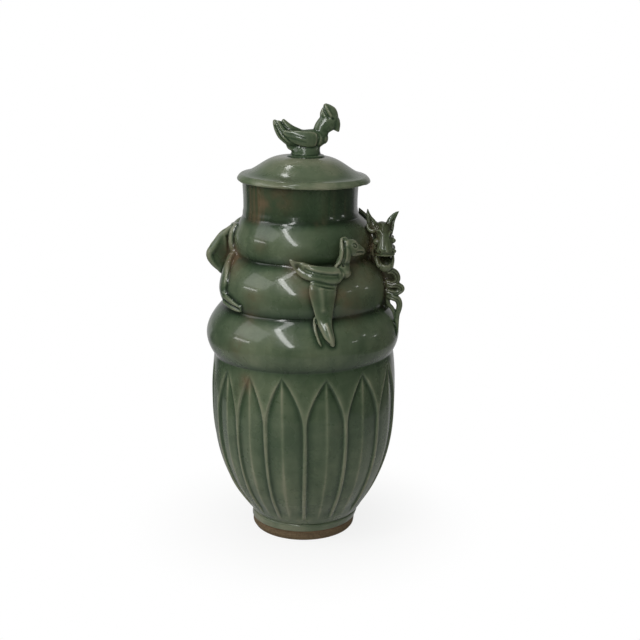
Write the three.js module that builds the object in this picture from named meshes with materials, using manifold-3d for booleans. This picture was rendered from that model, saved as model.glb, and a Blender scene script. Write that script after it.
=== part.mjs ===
// A lidded celadon jar: a carved petal bowl on a turned foot, three swelling rolls and a neck.
// A dragon is coiled round the shoulder, a bird perches on the front, and a second bird is the lid's knob.
// Millimetres, +Z up, the origin on the jar's axis at the level of the table. The front faces -Y.
import * as THREE from "three";
import { mergeVertices, toCreasedNormals } from "three/addons/utils/BufferGeometryUtils.js";
import Module from "manifold-3d";

const wasm = await Module();
wasm.setup();

// Heights of the clay sections, from the table up
const footHeight = 12;
const bowlHeight = 110;
const lowerRollHeight = 32;
const middleRollHeight = 31.5;
const upperRollHeight = 24.5;
const neckHeight = 22.5;
const lidHeight = 14.5;

// Foot and floor
const footRestRadius = 32.6;
const footRadius = 35.8;
const footBevelHeight = 8;
const footBevelRadius = footRadius - 0.8;
const footBoreRadius = 24;
const footRecess = 5;

// Petal bowl
const bellyRadius = 60.3;
const bellyHeight = 78;
const bowlFullness = 2.4;
const shoulderInset = 2;
const wall = 6;
const petalCount = 15;
const petalRise = 3;
const petalTipDrop = 3;
const petalArch = 31;
const petalDepth = 1.4;
const ribDepth = 0.35;
const petalFade = 11;
const ridgeHalfWidth = 0.6;
const carvedLip = 0.7;
// The petals that face the viewer, in degrees from the front. The potter spaced them by eye.
const frontPetals = [-54.6, -34.8, -13, 14.1, 38.6, 66.3];

// Rolls: how far each one swells out from its foot and draws in again, and where it is widest
const lowerSwell = 4.2;
const lowerBulgeHeight = 12.5;
const lowerDrawIn = 10.3;
const middleSwell = 1.9;
const middleBulgeHeight = 12;
const middleDrawIn = 11.3;
const upperSwell = 1.8;
const upperBulgeHeight = 9.5;
const upperDrawIn = 7.2;

// Neck
const neckWaist = 0.9;
const neckCove = 4;
const rimFlare = 0.5;
const neckWall = 5.5;

// Lid, with the locating flange that drops into the neck
const lidOverhang = 5.4;
const lidRimHeight = 3.2;
const lidSoftEdge = 0.9;
const lidWall = 5.5;
const flangeClearance = 1.5;
const flangeWall = 4;
const flangeLength = 10;
const stemRadius = 9;
const stemFlare = 2.4;
const stemHeight = 7;
const stemOffset = 1.3;

// Each section's radius follows from the one below it, so that the sections always meet
const shoulderRadius = bellyRadius - shoulderInset;
const lowerBulgeRadius = shoulderRadius + lowerSwell;
const lowerCreaseRadius = lowerBulgeRadius - lowerDrawIn;
const middleBulgeRadius = lowerCreaseRadius + middleSwell;
const upperCreaseRadius = middleBulgeRadius - middleDrawIn;
const upperBulgeRadius = upperCreaseRadius + upperSwell;
const neckBaseRadius = upperBulgeRadius - upperDrawIn;
const neckRadius = neckBaseRadius - neckWaist;
const rimRadius = neckRadius + rimFlare;
const lidRadius = rimRadius + lidOverhang;

// Modelled figures are pressed on with this gap to whatever they sit on
const seatGap = 0.35;
const trunkRadius = 5.8;
const legRadius = 3.8;
const clawRadius = 1.5;
const finHeight = 7;
const finThickness = 1.6;
const eyeRadius = 2;
const beardRadius = 2.3;
// One unit of the rows that build the dragon's head and the knob bird about their own middles
const figureUnit = 1;

// Levels where one section ends and the next begins
const bowlFootZ = footHeight;
const shoulderZ = bowlFootZ + bowlHeight;
const lowerCreaseZ = shoulderZ + lowerRollHeight;
const upperCreaseZ = lowerCreaseZ + middleRollHeight;
const neckBaseZ = upperCreaseZ + upperRollHeight;
const rimZ = neckBaseZ + neckHeight;
const lidTopZ = rimZ + lidHeight;

const segments = 40;
const rad = Math.PI / 180;

const glaze = new THREE.MeshStandardMaterial({ color: 0x4d6248, roughness: 0.22, metalness: 0 });
const thinGlaze = new THREE.MeshStandardMaterial({ color: 0x6c7a60, roughness: 0.25, metalness: 0 });
const deepGlaze = new THREE.MeshStandardMaterial({ color: 0x3d5140, roughness: 0.2, metalness: 0 });
const bareClay = new THREE.MeshStandardMaterial({ color: 0x735c46, roughness: 0.85, metalness: 0 });

// Solids and meshes

function toSolid(geometry) {
  const bare = new THREE.BufferGeometry();
  bare.setAttribute("position", geometry.getAttribute("position"));
  bare.setIndex(geometry.getIndex());
  const merged = mergeVertices(bare, 1e-4);
  const corners = merged.getIndex().array;
  const triangles = [];
  for (let i = 0; i < corners.length; i += 3) {
    const [a, b, c] = corners.slice(i, i + 3);
    if (a !== b && b !== c && c !== a) triangles.push(a, b, c);
  }
  return new wasm.Manifold(new wasm.Mesh({
    numProp: 3,
    vertProperties: Float32Array.from(merged.getAttribute("position").array),
    triVerts: Uint32Array.from(triangles),
  }));
}

function toMesh(name, solid, material) {
  const { vertProperties, triVerts } = solid.getMesh();
  const geometry = new THREE.BufferGeometry();
  geometry.setAttribute("position", new THREE.BufferAttribute(vertProperties, 3));
  geometry.setIndex(new THREE.BufferAttribute(triVerts, 1));
  const mesh = new THREE.Mesh(toCreasedNormals(geometry, 40 * rad), material);
  mesh.name = name;
  return mesh;
}

// A form turned on the wheel from an outline of [radius, height] points
function turned(outline, count = segments) {
  const points = outline.map(([radius, height]) => new THREE.Vector2(radius, height));
  return toSolid(new THREE.LatheGeometry(points, count).rotateX(Math.PI / 2));
}

function spread(from, to, steps) {
  return Array.from({ length: steps + 1 }, (_, i) => from + (to - from) * i / steps);
}

function ball(centre, radius) {
  return toSolid(new THREE.SphereGeometry(radius, 10, 7).translate(centre.x, centre.y, centre.z));
}

// A tapering form pulled along a smooth line. A station is [centre, half width, half thickness], and the
// thickness lies along the outward direction at that point.
function limb(stations, outward, { sides = 8, steps = 2, grow = 0 } = {}) {
  const line = new THREE.CatmullRomCurve3(stations.map(([centre]) => centre));
  const spans = new THREE.CatmullRomCurve3(stations.map(([, width, depth]) => new THREE.Vector3(width, depth, 0)));
  const rings = (stations.length - 1) * steps;
  const positions = [];
  const triangles = [];
  const endCap = (t, direction) => {
    const span = spans.getPoint(t);
    const reach = 0.4 * Math.min(span.x, span.y) + grow;
    positions.push(...line.getPoint(t).addScaledVector(line.getTangent(t), direction * reach));
  };
  for (let i = 0; i <= rings; i++) {
    const t = i / rings;
    const centre = line.getPoint(t);
    const tangent = line.getTangent(t);
    const across = new THREE.Vector3().crossVectors(outward(centre), tangent).normalize();
    const out = new THREE.Vector3().crossVectors(tangent, across);
    const span = spans.getPoint(t);
    for (let k = 0; k < sides; k++) {
      const turn = 2 * Math.PI * k / sides;
      const point = centre.clone();
      point.addScaledVector(across, (span.x + grow) * Math.cos(turn));
      point.addScaledVector(out, (span.y + grow) * Math.sin(turn));
      positions.push(...point);
    }
  }
  endCap(0, -1);
  endCap(1, 1);
  const start = (rings + 1) * sides;
  for (let k = 0; k < sides; k++) {
    const next = (k + 1) % sides;
    for (let i = 0; i < rings; i++) {
      const here = i * sides;
      const above = here + sides;
      triangles.push(here + k, here + next, above + next, here + k, above + next, above + k);
    }
    triangles.push(start, next, k, start + 1, rings * sides + k, rings * sides + next);
  }
  const geometry = new THREE.BufferGeometry();
  geometry.setAttribute("position", new THREE.Float32BufferAttribute(positions, 3));
  geometry.setIndex(triangles);
  return toSolid(geometry);
}

function joined(solids) {
  return solids.reduce((whole, solid) => whole.add(solid));
}

// The jar's outline

const rolls = [
  { foot: shoulderZ, height: lowerRollHeight, footRadius: shoulderRadius,
    bulge: lowerBulgeRadius, bulgeHeight: lowerBulgeHeight, topRadius: lowerCreaseRadius },
  { foot: lowerCreaseZ, height: middleRollHeight, footRadius: lowerCreaseRadius,
    bulge: middleBulgeRadius, bulgeHeight: middleBulgeHeight, topRadius: upperCreaseRadius },
  { foot: upperCreaseZ, height: upperRollHeight, footRadius: upperCreaseRadius,
    bulge: upperBulgeRadius, bulgeHeight: upperBulgeHeight, topRadius: neckBaseRadius },
];

function bowlRadius(z) {
  const bellyZ = bowlFootZ + bellyHeight;
  if (z < bellyZ) {
    return footRadius + (bellyRadius - footRadius) * (1 - (1 - (z - bowlFootZ) / bellyHeight) ** bowlFullness);
  }
  return bellyRadius - (bellyRadius - shoulderRadius) * ((z - bellyZ) / (shoulderZ - bellyZ)) ** 2;
}

function rollRadius(roll, z) {
  const rise = z - roll.foot;
  if (rise < roll.bulgeHeight) {
    return roll.bulge - (roll.bulge - roll.footRadius) * (1 - rise / roll.bulgeHeight) ** 2;
  }
  return roll.bulge - (roll.bulge - roll.topRadius) * ((rise - roll.bulgeHeight) / (roll.height - roll.bulgeHeight)) ** 2;
}

function rollLevels(roll) {
  const widest = roll.foot + roll.bulgeHeight;
  return [...spread(roll.foot, widest, 2), ...spread(widest, roll.foot + roll.height, 4).slice(1)];
}

const neckOutline = [
  [neckBaseRadius, neckBaseZ],
  [neckRadius, neckBaseZ + neckCove],
  [neckRadius, neckBaseZ + neckHeight / 2],
  [rimRadius, rimZ - 1],
  [rimRadius - 0.6, rimZ],
];

function jarRadius(z) {
  const roll = rolls.find(({ foot, height }) => z >= foot && z < foot + height);
  if (roll) return rollRadius(roll, z);
  if (z < shoulderZ) return bowlRadius(z);
  return z < neckBaseZ + neckCove ? neckBaseRadius : rimRadius;
}

// Clay sections that were thrown on the wheel

function footBase() {
  return turned([
    [0, footRecess], [footBoreRadius - 1.5, footRecess], [footBoreRadius, footRecess - 1.5],
    [footBoreRadius + 1, 0], [footRestRadius, 0],
    [(footRestRadius + footBevelRadius) / 2 + 0.3, footBevelHeight / 2],
    [footBevelRadius, footBevelHeight], [footRadius, footHeight], [0, footHeight],
  ]);
}

// How far the knife goes in at a height, and how much of the petal's width is cut there
function petalCut(z) {
  const tipZ = shoulderZ - petalTipDrop;
  const archFootZ = tipZ - petalArch;
  const width = z < archFootZ ? 1 : Math.max(1 - ((z - archFootZ) / petalArch) ** 1.7, 0.06);
  const fadeIn = Math.min(Math.max((z - bowlFootZ - petalRise) / petalFade, 0), 1);
  const fadeOut = Math.min(Math.max((tipZ - z) / (petalFade / 2), 0), 1);
  return { width, depth: petalDepth * Math.min(fadeIn, fadeOut) };
}

function petalCentres() {
  const [first, last] = [frontPetals[0], frontPetals.at(-1)];
  const rest = petalCount - frontPetals.length;
  const pitch = (360 + first - last) / (rest + 1);
  return [...frontPetals, ...spread(last + pitch, last + pitch * rest, rest - 1)];
}

// The columns of one level of the bowl: between the petals, then across each petal from lip to lip
function bowlLevel(z) {
  const radius = bowlRadius(z);
  const { width, depth } = petalCut(z);
  const degrees = (length) => length / radius / rad;
  const centres = petalCentres();
  return centres.flatMap((centre, i) => {
    const before = i ? centres[i - 1] : centres.at(-1) - 360;
    const after = i < centres.length - 1 ? centres[i + 1] : centres[0] + 360;
    const [left, right] = [(centre - before) / 2, (after - centre) / 2].map(
      (half) => width * (half - degrees(ridgeHalfWidth + carvedLip)));
    const cut = (bearing, inward) => [bearing, radius - inward];
    return [
      cut(centre - (centre - before) / 2, 0),
      cut(centre - left - degrees(carvedLip), 0),
      cut(centre - left, depth),
      cut(centre, ribDepth * depth / petalDepth),
      cut(centre + right, depth),
      cut(centre + right + degrees(carvedLip), 0),
    ];
  });
}

function petalBowl() {
  const tipZ = shoulderZ - petalTipDrop;
  const archFootZ = tipZ - petalArch;
  const petalFootZ = bowlFootZ + petalRise;
  const levels = [
    bowlFootZ, petalFootZ, ...spread(petalFootZ + petalFade, archFootZ, 4),
    ...[0.35, 0.62, 0.82].map((share) => archFootZ + share * petalArch), tipZ, shoulderZ,
  ];
  const positions = [];
  const triangles = [];
  const rings = levels.map((z) => bowlLevel(z).map(([bearing, radius]) => {
    const angle = (bearing - 90) * rad;
    positions.push(radius * Math.cos(angle), radius * Math.sin(angle), z);
    return positions.length / 3 - 1;
  }));
  positions.push(0, 0, bowlFootZ, 0, 0, shoulderZ);
  const [floorHub, topHub] = [positions.length / 3 - 2, positions.length / 3 - 1];
  rings[0].forEach((corner, k) => {
    const next = (k + 1) % rings[0].length;
    for (let i = 0; i < rings.length - 1; i++) {
      const [low, high] = [rings[i], rings[i + 1]];
      triangles.push(low[k], low[next], high[next], low[k], high[next], high[k]);
    }
    triangles.push(floorHub, rings[0][next], corner, topHub, rings.at(-1)[k], rings.at(-1)[next]);
  });
  const geometry = new THREE.BufferGeometry();
  geometry.setAttribute("position", new THREE.Float32BufferAttribute(positions, 3));
  geometry.setIndex(triangles);
  const inside = spread(bowlFootZ, shoulderZ, 5).map((z) => [bowlRadius(z) - wall, z]);
  const cavity = turned([
    [0, bowlFootZ - 1], [inside[0][0], bowlFootZ - 1], ...inside,
    [inside.at(-1)[0], shoulderZ + 1], [0, shoulderZ + 1],
  ]);
  return toSolid(geometry).subtract(cavity);
}

function rollShell(roll, thickness, topThickness) {
  const outside = rollLevels(roll).map((z) => [rollRadius(roll, z), z]);
  const top = roll.foot + roll.height;
  const inside = [
    [roll.topRadius - topThickness, top],
    [roll.bulge - thickness, roll.foot + roll.bulgeHeight],
    [roll.footRadius - thickness, roll.foot],
  ];
  return turned([...outside, ...inside, outside[0]]);
}

const neckBoreRadius = neckBaseRadius - neckWall;

function neckCollar() {
  return turned([...neckOutline, [neckBoreRadius, rimZ], [neckBoreRadius, neckBaseZ], neckOutline[0]]);
}

// The lid

const flangeRadius = neckBoreRadius - flangeClearance;

function lidDome() {
  const rimTopZ = rimZ + lidRimHeight;
  const shoulder = lidRadius - 2 * lidSoftEdge;
  const crown = stemRadius + stemFlare + 1;
  const swell = spread(0, 1, 6).map((t) => {
    const rise = (1 + Math.cos(Math.PI * t ** 1.15)) / 2;
    return [crown + (shoulder - crown) * t, rimTopZ + (lidTopZ - rimTopZ) * rise];
  });
  const hollowTopZ = lidTopZ - lidWall;
  return turned([
    [0, hollowTopZ],
    [(flangeRadius - flangeWall) / 2, hollowTopZ - 1],
    [flangeRadius - flangeWall - 2, (rimZ + hollowTopZ) / 2],
    [flangeRadius - flangeWall, rimZ],
    [lidRadius - lidSoftEdge, rimZ],
    [lidRadius, rimZ + lidSoftEdge],
    [lidRadius, rimTopZ - 2 * lidSoftEdge],
    [lidRadius - lidSoftEdge / 2, rimTopZ - lidSoftEdge / 2],
    ...swell.reverse(),
    [0, lidTopZ],
  ]);
}

function lidFlange() {
  const low = rimZ - flangeLength;
  return turned([
    [flangeRadius - flangeWall, low], [flangeRadius, low],
    [flangeRadius, rimZ], [flangeRadius - flangeWall, rimZ], [flangeRadius - flangeWall, low],
  ]);
}

// Places beside the jar: degrees from the front, positive to the viewer's right, a height, and how far
// the point stands off the surface there

function beside(bearing, height, standoff) {
  const reach = jarRadius(height) + standoff;
  const angle = (bearing - 90) * rad;
  return new THREE.Vector3(reach * Math.cos(angle), reach * Math.sin(angle), height);
}

const radially = (point) => new THREE.Vector3(point.x, point.y, 0).normalize();

// A limb that lies on the jar: rows of [bearing, height, standoff, half width, half thickness]
function onJar(rows, options) {
  const stations = rows.map(([bearing, height, standoff, width, depth]) => [
    beside(bearing, height, standoff), width, depth]);
  return limb(stations, radially, options);
}

// A limb among its own group's places: rows of [x, y, z, half width, half thickness] from an anchor
function near(anchor, rows, outward, options) {
  const stations = rows.map(([x, y, z, width, depth]) => [
    anchor.clone().addScaledVector(new THREE.Vector3(x, y, z), figureUnit), width * figureUnit, depth * figureUnit]);
  return limb(stations, () => outward.clone(), options);
}

const east = new THREE.Vector3(1, 0, 0);
const north = new THREE.Vector3(0, 1, 0);
const up = new THREE.Vector3(0, 0, 1);

// The jar's outer skin with the seating gap added, which every figure is cut by
function jarWithGap() {
  const below = shoulderZ - 10;
  const skin = [[bowlRadius(below), below], ...rolls.flatMap((roll) => rollLevels(roll).map(
    (z) => [rollRadius(roll, z), z])), ...neckOutline.slice(0, 4)];
  const outline = skin.filter(([, z], i) => !i || z > skin[i - 1][1]);
  return turned([
    [0, below], ...outline.map(([radius, z]) => [radius + seatGap, z]),
    [rimRadius + seatGap, rimZ + 1], [0, rimZ + 1],
  ]);
}

const jarSkin = jarWithGap();

function seated(shape, ...neighbours) {
  return neighbours.reduce((solid, neighbour) => solid.subtract(neighbour(seatGap)), shape(0).subtract(jarSkin));
}

// The dragon, from behind its head round the back of the shoulder to its tail

const dragonTrunk = (grow) => onJar([
  [89, neckBaseZ - 8, 3.5, trunkRadius - 1, trunkRadius - 1],
  [104, neckBaseZ - 5, 2.5, trunkRadius, trunkRadius - 0.5],
  [126, neckBaseZ - 9, 2.5, trunkRadius, trunkRadius],
  [148, upperCreaseZ + 8.5, 2, trunkRadius, trunkRadius],
  [170, upperCreaseZ + 5.5, 3, trunkRadius + 0.4, trunkRadius],
  [192, upperCreaseZ + 6.5, 3, trunkRadius + 0.4, trunkRadius],
  [214, upperCreaseZ + 11, 2, trunkRadius, trunkRadius],
  [236, neckBaseZ - 11, 2.5, trunkRadius, trunkRadius - 0.5],
  [256, neckBaseZ - 11.5, 2.5, trunkRadius - 1.2, trunkRadius - 1.2],
], { grow });

const dragonTail = (grow) => onJar([
  [248, neckBaseZ - 11, 2.4, 4.4, 4.4],
  [258, neckBaseZ - 8.5, 2.6, 3.6, 3.4],
  [266, neckBaseZ - 6, 2, 2.8, 2.6],
  [272, neckBaseZ - 4.6, 1, 1.8, 1.8],
], { grow, sides: 7 });

// A thigh that bends out to the knee and back in to the roll
const haunch = (grow) => onJar([
  [266, neckBaseZ - 6.5, 1.6, 2.4, 2.6],
  [264, neckBaseZ - 11.5, 4, 2.8, 4.2],
  [263, upperCreaseZ + 6.5, 8.4, 3.2, 5.6],
  [263, upperCreaseZ + 0.5, 12.6, 3.4, 8.4],
  [263.5, upperCreaseZ - 4, 9, 3.4, 8.2],
  [264.5, upperCreaseZ - 8.5, 3.8, 3, 5],
  [265, upperCreaseZ - 11.5, 0.6, 2.4, 2.4],
], { grow, sides: 9 });

const hindLeg = (grow) => onJar([
  [274, neckBaseZ - 6.5, 1.8, legRadius - 1.2, legRadius - 1.2],
  [273, upperCreaseZ + 9, 2.2, legRadius - 1.2, legRadius - 1],
  [273.5, upperCreaseZ + 1, 3.2, legRadius - 1, legRadius - 0.8],
  [280, upperCreaseZ - 7.5, 2, legRadius - 1, legRadius - 0.8],
  [288.5, upperCreaseZ - 14, 1, legRadius - 0.9, legRadius - 0.8],
  [293, lowerCreaseZ + 11.5, 1, legRadius - 0.8, legRadius - 0.8],
  [297, lowerCreaseZ + 8, 1.2, legRadius - 0.8, legRadius - 1.2],
], { grow, sides: 7 });

// Three claws laid side by side, running down and forward from the wrist
function claws(bearing, height, run, drop, grow) {
  return joined([-1, 0, 1].map((place) => onJar([
    [bearing, height, 1.6, clawRadius + 1, clawRadius + 0.7],
    [bearing + run * 0.5, height - drop * 0.5 + place * 1.6, 1.4, clawRadius + 0.1, clawRadius - 0.1],
    [bearing + run * (0.9 + 0.12 * place), height - drop + place * 2.2, 0.9, clawRadius * 0.6, clawRadius * 0.6],
  ], { grow, sides: 6, steps: 1 })));
}

const hindPaw = (grow) => claws(298, lowerCreaseZ + 7.8, 16, 3.8, grow);

// The legs on the far side reach down from the trunk over the middle roll
const farLeg = (bearing, turn) => (grow) => onJar([
  [bearing, upperCreaseZ + 10.5, 3.4, legRadius, legRadius - 0.4],
  [bearing + turn * 0.6, upperCreaseZ - 1.5, 4.4, legRadius, legRadius],
  [bearing + turn, lowerCreaseZ + 20, 2, legRadius - 0.4, legRadius - 0.4],
  [bearing + turn * 0.6, lowerCreaseZ + 12, 1.6, legRadius - 0.8, legRadius - 0.8],
], { grow });

const farForeLeg = farLeg(118, 10);
const farForePaw = (grow) => claws(118 + 6, lowerCreaseZ + 10.5, -10, 4, grow);
const farHindLeg = farLeg(222, 8);
const farHindPaw = (grow) => claws(222 + 5, lowerCreaseZ + 10.5, -10, 4, grow);

// The head looks out past the jar to the front, with its places taken from the middle of the skull
const headAt = beside(73.5, upperCreaseZ + 12.5, 8.7);
const fromHead = (rows, outward, options) => near(headAt, rows, outward, options);

const skull = (grow) => fromHead([
  [-4.4, 14, 4.6, 4.6, 4.8], [-2.6, 6, 5, 5.6, 6], [-1, -1, 3.6, 5.8, 5.8],
  [0, -6, 0, 5.4, 4.8], [0.2, -10, -4.4, 5.6, 3.8], [0.2, -12, -6.4, 4.6, 2.4],
], up, { grow, sides: 10 });
const brow = (rows) => (grow) => fromHead(rows, north, { grow, sides: 5 });
const leftBrow = brow([[-5.6, -4.8, 3.4, 1.2, 1.4], [-3.4, -7.2, 4.6, 1.2, 1.4], [-1.2, -9.6, 0.6, 1, 1.2]]);
const rightBrow = brow([[5.4, -4.4, 3.6, 1.2, 1.4], [3.6, -7, 4.6, 1.2, 1.4], [1.8, -9.6, 0.8, 1, 1.2]]);
const dragonHead = (grow) => joined([skull(grow), leftBrow(grow), rightBrow(grow)]);

// The jaw hangs open: its floor, and a rim of clay bent round it in a U
const lowerJaw = (grow) => joined([
  fromHead([
    [-0.6, 2, -9.6, 4.4, 3], [-0.4, -3.5, -14.6, 4.2, 2.4], [-0.4, -7, -18.2, 3, 2],
  ], up, { grow, sides: 7 }),
  fromHead([
    [-4.8, -5.4, -12.4, 1.3, 1.6], [-4.2, -7.6, -16.6, 1.4, 1.6], [-0.2, -9.4, -20, 1.6, 1.7],
    [3.8, -8, -17, 1.4, 1.6], [4.8, -5.8, -12.4, 1.3, 1.6],
  ], north, { grow, sides: 6 }),
]);

const leftEar = (grow) => fromHead([
  [-6.6, 0, 6.8, 3, 1.9], [-7.6, 0.6, 9.6, 3.7, 1.8], [-9.4, 1.4, 14, 2.3, 1.3], [-10.8, 2, 18.6, 0.6, 0.6],
], north, { grow, sides: 7 });
const rightEar = (grow) => fromHead([
  [4, -0.4, 5, 1.8, 1.8], [3.6, 0, 9.4, 2.6, 1.9], [4.4, 0.6, 13.2, 2.2, 1.4], [7.6, 1.4, 16.8, 0.6, 0.6],
], north, { grow, sides: 7 });

const eye = (x, y, z) => (grow) => ball(headAt.clone().addScaledVector(new THREE.Vector3(x, y, z), figureUnit),
  eyeRadius + grow);
const leftEye = eye(-4.9, -6.6, -1);
const rightEye = eye(5, -6, 0);

// A beard of clay strands, laid down in bends from the chin to the lower roll
const beardBends = [
  [[1, -6.5, -20.5], [7, -4, -22], [9.2, -2.9, -25.4], [4.6, -1.5, -29]],
  [[2.5, -1, -27], [8.6, -3, -29.6], [12, -2.2, -32.2], [9, -1.6, -34.6], [3.5, 0, -35]],
  [[3, 0, -37.4], [9, -2.6, -38], [11.6, -2.6, -43], [10, -2, -49], [9.6, -1.4, -58], [8.2, -1, -66]],
];
const strandWidth = beardRadius / figureUnit;
const beard = (grow) => joined(beardBends.map((bend) => fromHead(
  bend.map(([x, y, z]) => [x, y, z, strandWidth, strandWidth]), north, { grow, sides: 6 })));

// Fins stand along the trunk's ridge
const fin = (bearing, height, lean) => (grow) => onJar([
  [bearing + lean, height + trunkRadius - 2.4, 1.2, finThickness + 2.4, finThickness],
  [bearing, height + trunkRadius + finHeight * 0.3, 0.6, finThickness + 0.8, finThickness * 0.8],
  [bearing - lean, height + trunkRadius + finHeight * 0.75, 0.2, 0.5, 0.5],
], { grow, sides: 6, steps: 1 });
const fins = [
  fin(108, neckBaseZ - 5.5, 2),
  fin(138, upperCreaseZ + 12, 2),
  fin(160, upperCreaseZ + 7, 2),
  fin(182, upperCreaseZ + 6, 2),
  fin(204, upperCreaseZ + 9, 2),
  fin(228, neckBaseZ - 12, 2),
];

// The bird on the shoulder faces right. Its leg is a strip of clay that tapers down over the crease.

const perch = (grow) => joined([
  onJar([
    [13.4, upperCreaseZ - 6, 2.2, 8, 2.2], [13.2, upperCreaseZ - 11, 1.2, 8.9, 2.2],
    [12.1, upperCreaseZ - 15, 0.8, 8.6, 2.2], [12.6, lowerCreaseZ + 8.6, 0.8, 6.9, 2.2],
    [13, lowerCreaseZ + 1.5, 2.4, 5.3, 2.4], [13.8, lowerCreaseZ - 4.5, 1.2, 3.9, 2.2],
    [15.2, lowerCreaseZ - 10.2, 0.7, 3.1, 1.8], [16.6, lowerCreaseZ - 13.6, 0.4, 1.5, 1.2],
  ], { grow, sides: 8, steps: 1 }),
  onJar([
    [7.6, lowerCreaseZ + 2, 2.2, 1.6, 1.6], [6.9, lowerCreaseZ - 5, 0.6, 1.1, 1.2], [8.5, lowerCreaseZ - 11, 0.4, 1, 1],
    [9.8, lowerCreaseZ - 13.7, 0.2, 0.6, 0.7],
  ], { grow, sides: 6 }),
]);

const birdBody = (grow) => onJar([
  [-9.6, upperCreaseZ + 5.1, 5.2, 1, 1], [-5, upperCreaseZ + 1.6, 5, 2.6, 2],
  [1, upperCreaseZ - 0.6, 4.8, 4, 3], [9, upperCreaseZ - 2.4, 4.6, 4.9, 3.6],
  [18, upperCreaseZ - 3.6, 4.4, 5.4, 4], [25, upperCreaseZ - 3.4, 4.4, 5, 3.8], [30, upperCreaseZ - 2.6, 4, 3.6, 3],
], { grow, steps: 1 });

const birdWing = (grow) => onJar([
  [-4.6, upperCreaseZ - 0.4, 6.6, 1.8, 1], [2, upperCreaseZ - 2.9, 8, 3.8, 1.7],
  [9, upperCreaseZ - 4.5, 8.4, 4.5, 2], [16, upperCreaseZ - 5.5, 8.4, 4.8, 2.1],
  [21.5, upperCreaseZ - 5.7, 8, 4.5, 1.9], [25, upperCreaseZ - 5.3, 7, 2.8, 1.4],
], { grow, steps: 1, sides: 10 });

const birdHead = (grow) => joined([
  onJar([
    [29, upperCreaseZ - 1.5, 4.6, 4.3, 3], [29.6, upperCreaseZ + 3, 5, 3.9, 3],
    [30.4, upperCreaseZ + 8, 4.8, 3.7, 3.1], [31, upperCreaseZ + 13, 4.4, 3.8, 3], [31.4, upperCreaseZ + 16, 4.2, 3, 2.2],
  ], { grow, steps: 1 }),
  onJar([
    [30.4, upperCreaseZ + 13, 4.6, 3.8, 3], [35, upperCreaseZ + 12.4, 5, 3.7, 2.9],
    [39.5, upperCreaseZ + 10, 5.2, 2.9, 2.3], [44, upperCreaseZ + 8, 5, 1.7, 1.6],
    [47.2, upperCreaseZ + 6.5, 4.8, 0.7, 0.8],
  ], { grow, steps: 1 }),
]);

// The knob bird, in places taken from the middle of the lid's top

const knobAt = new THREE.Vector3(0, 0, lidTopZ);
const fromKnob = (rows, outward, options) => near(knobAt, rows, outward, options);

const stem = (grow) => turned([
  [0, 0], [stemRadius + stemFlare + grow, 0], [stemRadius + stemFlare * 0.35 + grow, 1.4],
  [stemRadius + grow, 3.2], [stemRadius + grow - 0.6, stemHeight], [0, stemHeight + grow],
], 24).translate([stemOffset, 0, lidTopZ]);

const knobBody = (grow) => fromKnob([
  [-12.4, 0, 14, 3, 5], [-8, 0, 12.6, 5.2, 6.5], [-2, 0, 11.2, 6.2, 5.8],
  [4, 0, 11, 6.3, 5.9], [9.5, 0, 11.1, 5.4, 6], [13, 0, 11.6, 3.2, 4],
], up, { grow, sides: 10 });

const tailFeather = (rows) => (grow) => fromKnob(rows, north, { grow, sides: 6 });
const tailFeathers = [
  tailFeather([[-10, 0, 12, 4, 3], [-14.4, 0, 15, 3.2, 2.8], [-16.9, 0, 18.8, 2.3, 2.2], [-18, 0, 21.6, 1.4, 1.4]]),
  tailFeather([[-6.6, 0, 14.4, 3.4, 3], [-10.6, 0, 17.6, 2.7, 2.7], [-12.9, 0, 20.8, 1.9, 2],
    [-13.6, 0, 22.6, 1.2, 1.3]]),
];
const knobTail = (grow) => joined(tailFeathers.map((feather) => feather(grow)));

const knobWing = (side) => (grow) => fromKnob([
  [-10.6, side * 4, 15.2, 1.8, 1.2], [-5, side * 5.8, 13, 4, 2], [1.4, side * 6.8, 11.6, 4.8, 2.2],
  [6.4, side * 6.5, 11.2, 4.7, 2],
], north.clone().multiplyScalar(side), { grow, sides: 7 });

const knobHead = (grow) => joined([
  fromKnob([
    [10.8, 0, 10.5, 4.4, 4.6], [11.4, 0, 15, 3.7, 4.5], [12.9, 0, 18.6, 3.3, 5], [15.3, 0, 21.4, 3.4, 6.4],
    [16.2, 0, 24, 3.2, 5.7], [15.7, 0, 27.6, 2.7, 4.9], [14.6, 0, 30.2, 2, 3.6], [13.7, 0, 32, 1.1, 1.6],
  ], east, { grow, steps: 1 }),
  fromKnob([[17, 0, 21, 2.8, 4], [20, 0, 19.6, 2.1, 3.4], [22.2, 0, 18.2, 1.3, 2.1], [23.2, 0, 17, 0.7, 0.9]],
    up, { grow, steps: 1 }),
]);

// The assembly: the jar, and the lid that lifts off it

const jar = new THREE.Group();
const lid = new THREE.Group();

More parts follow.
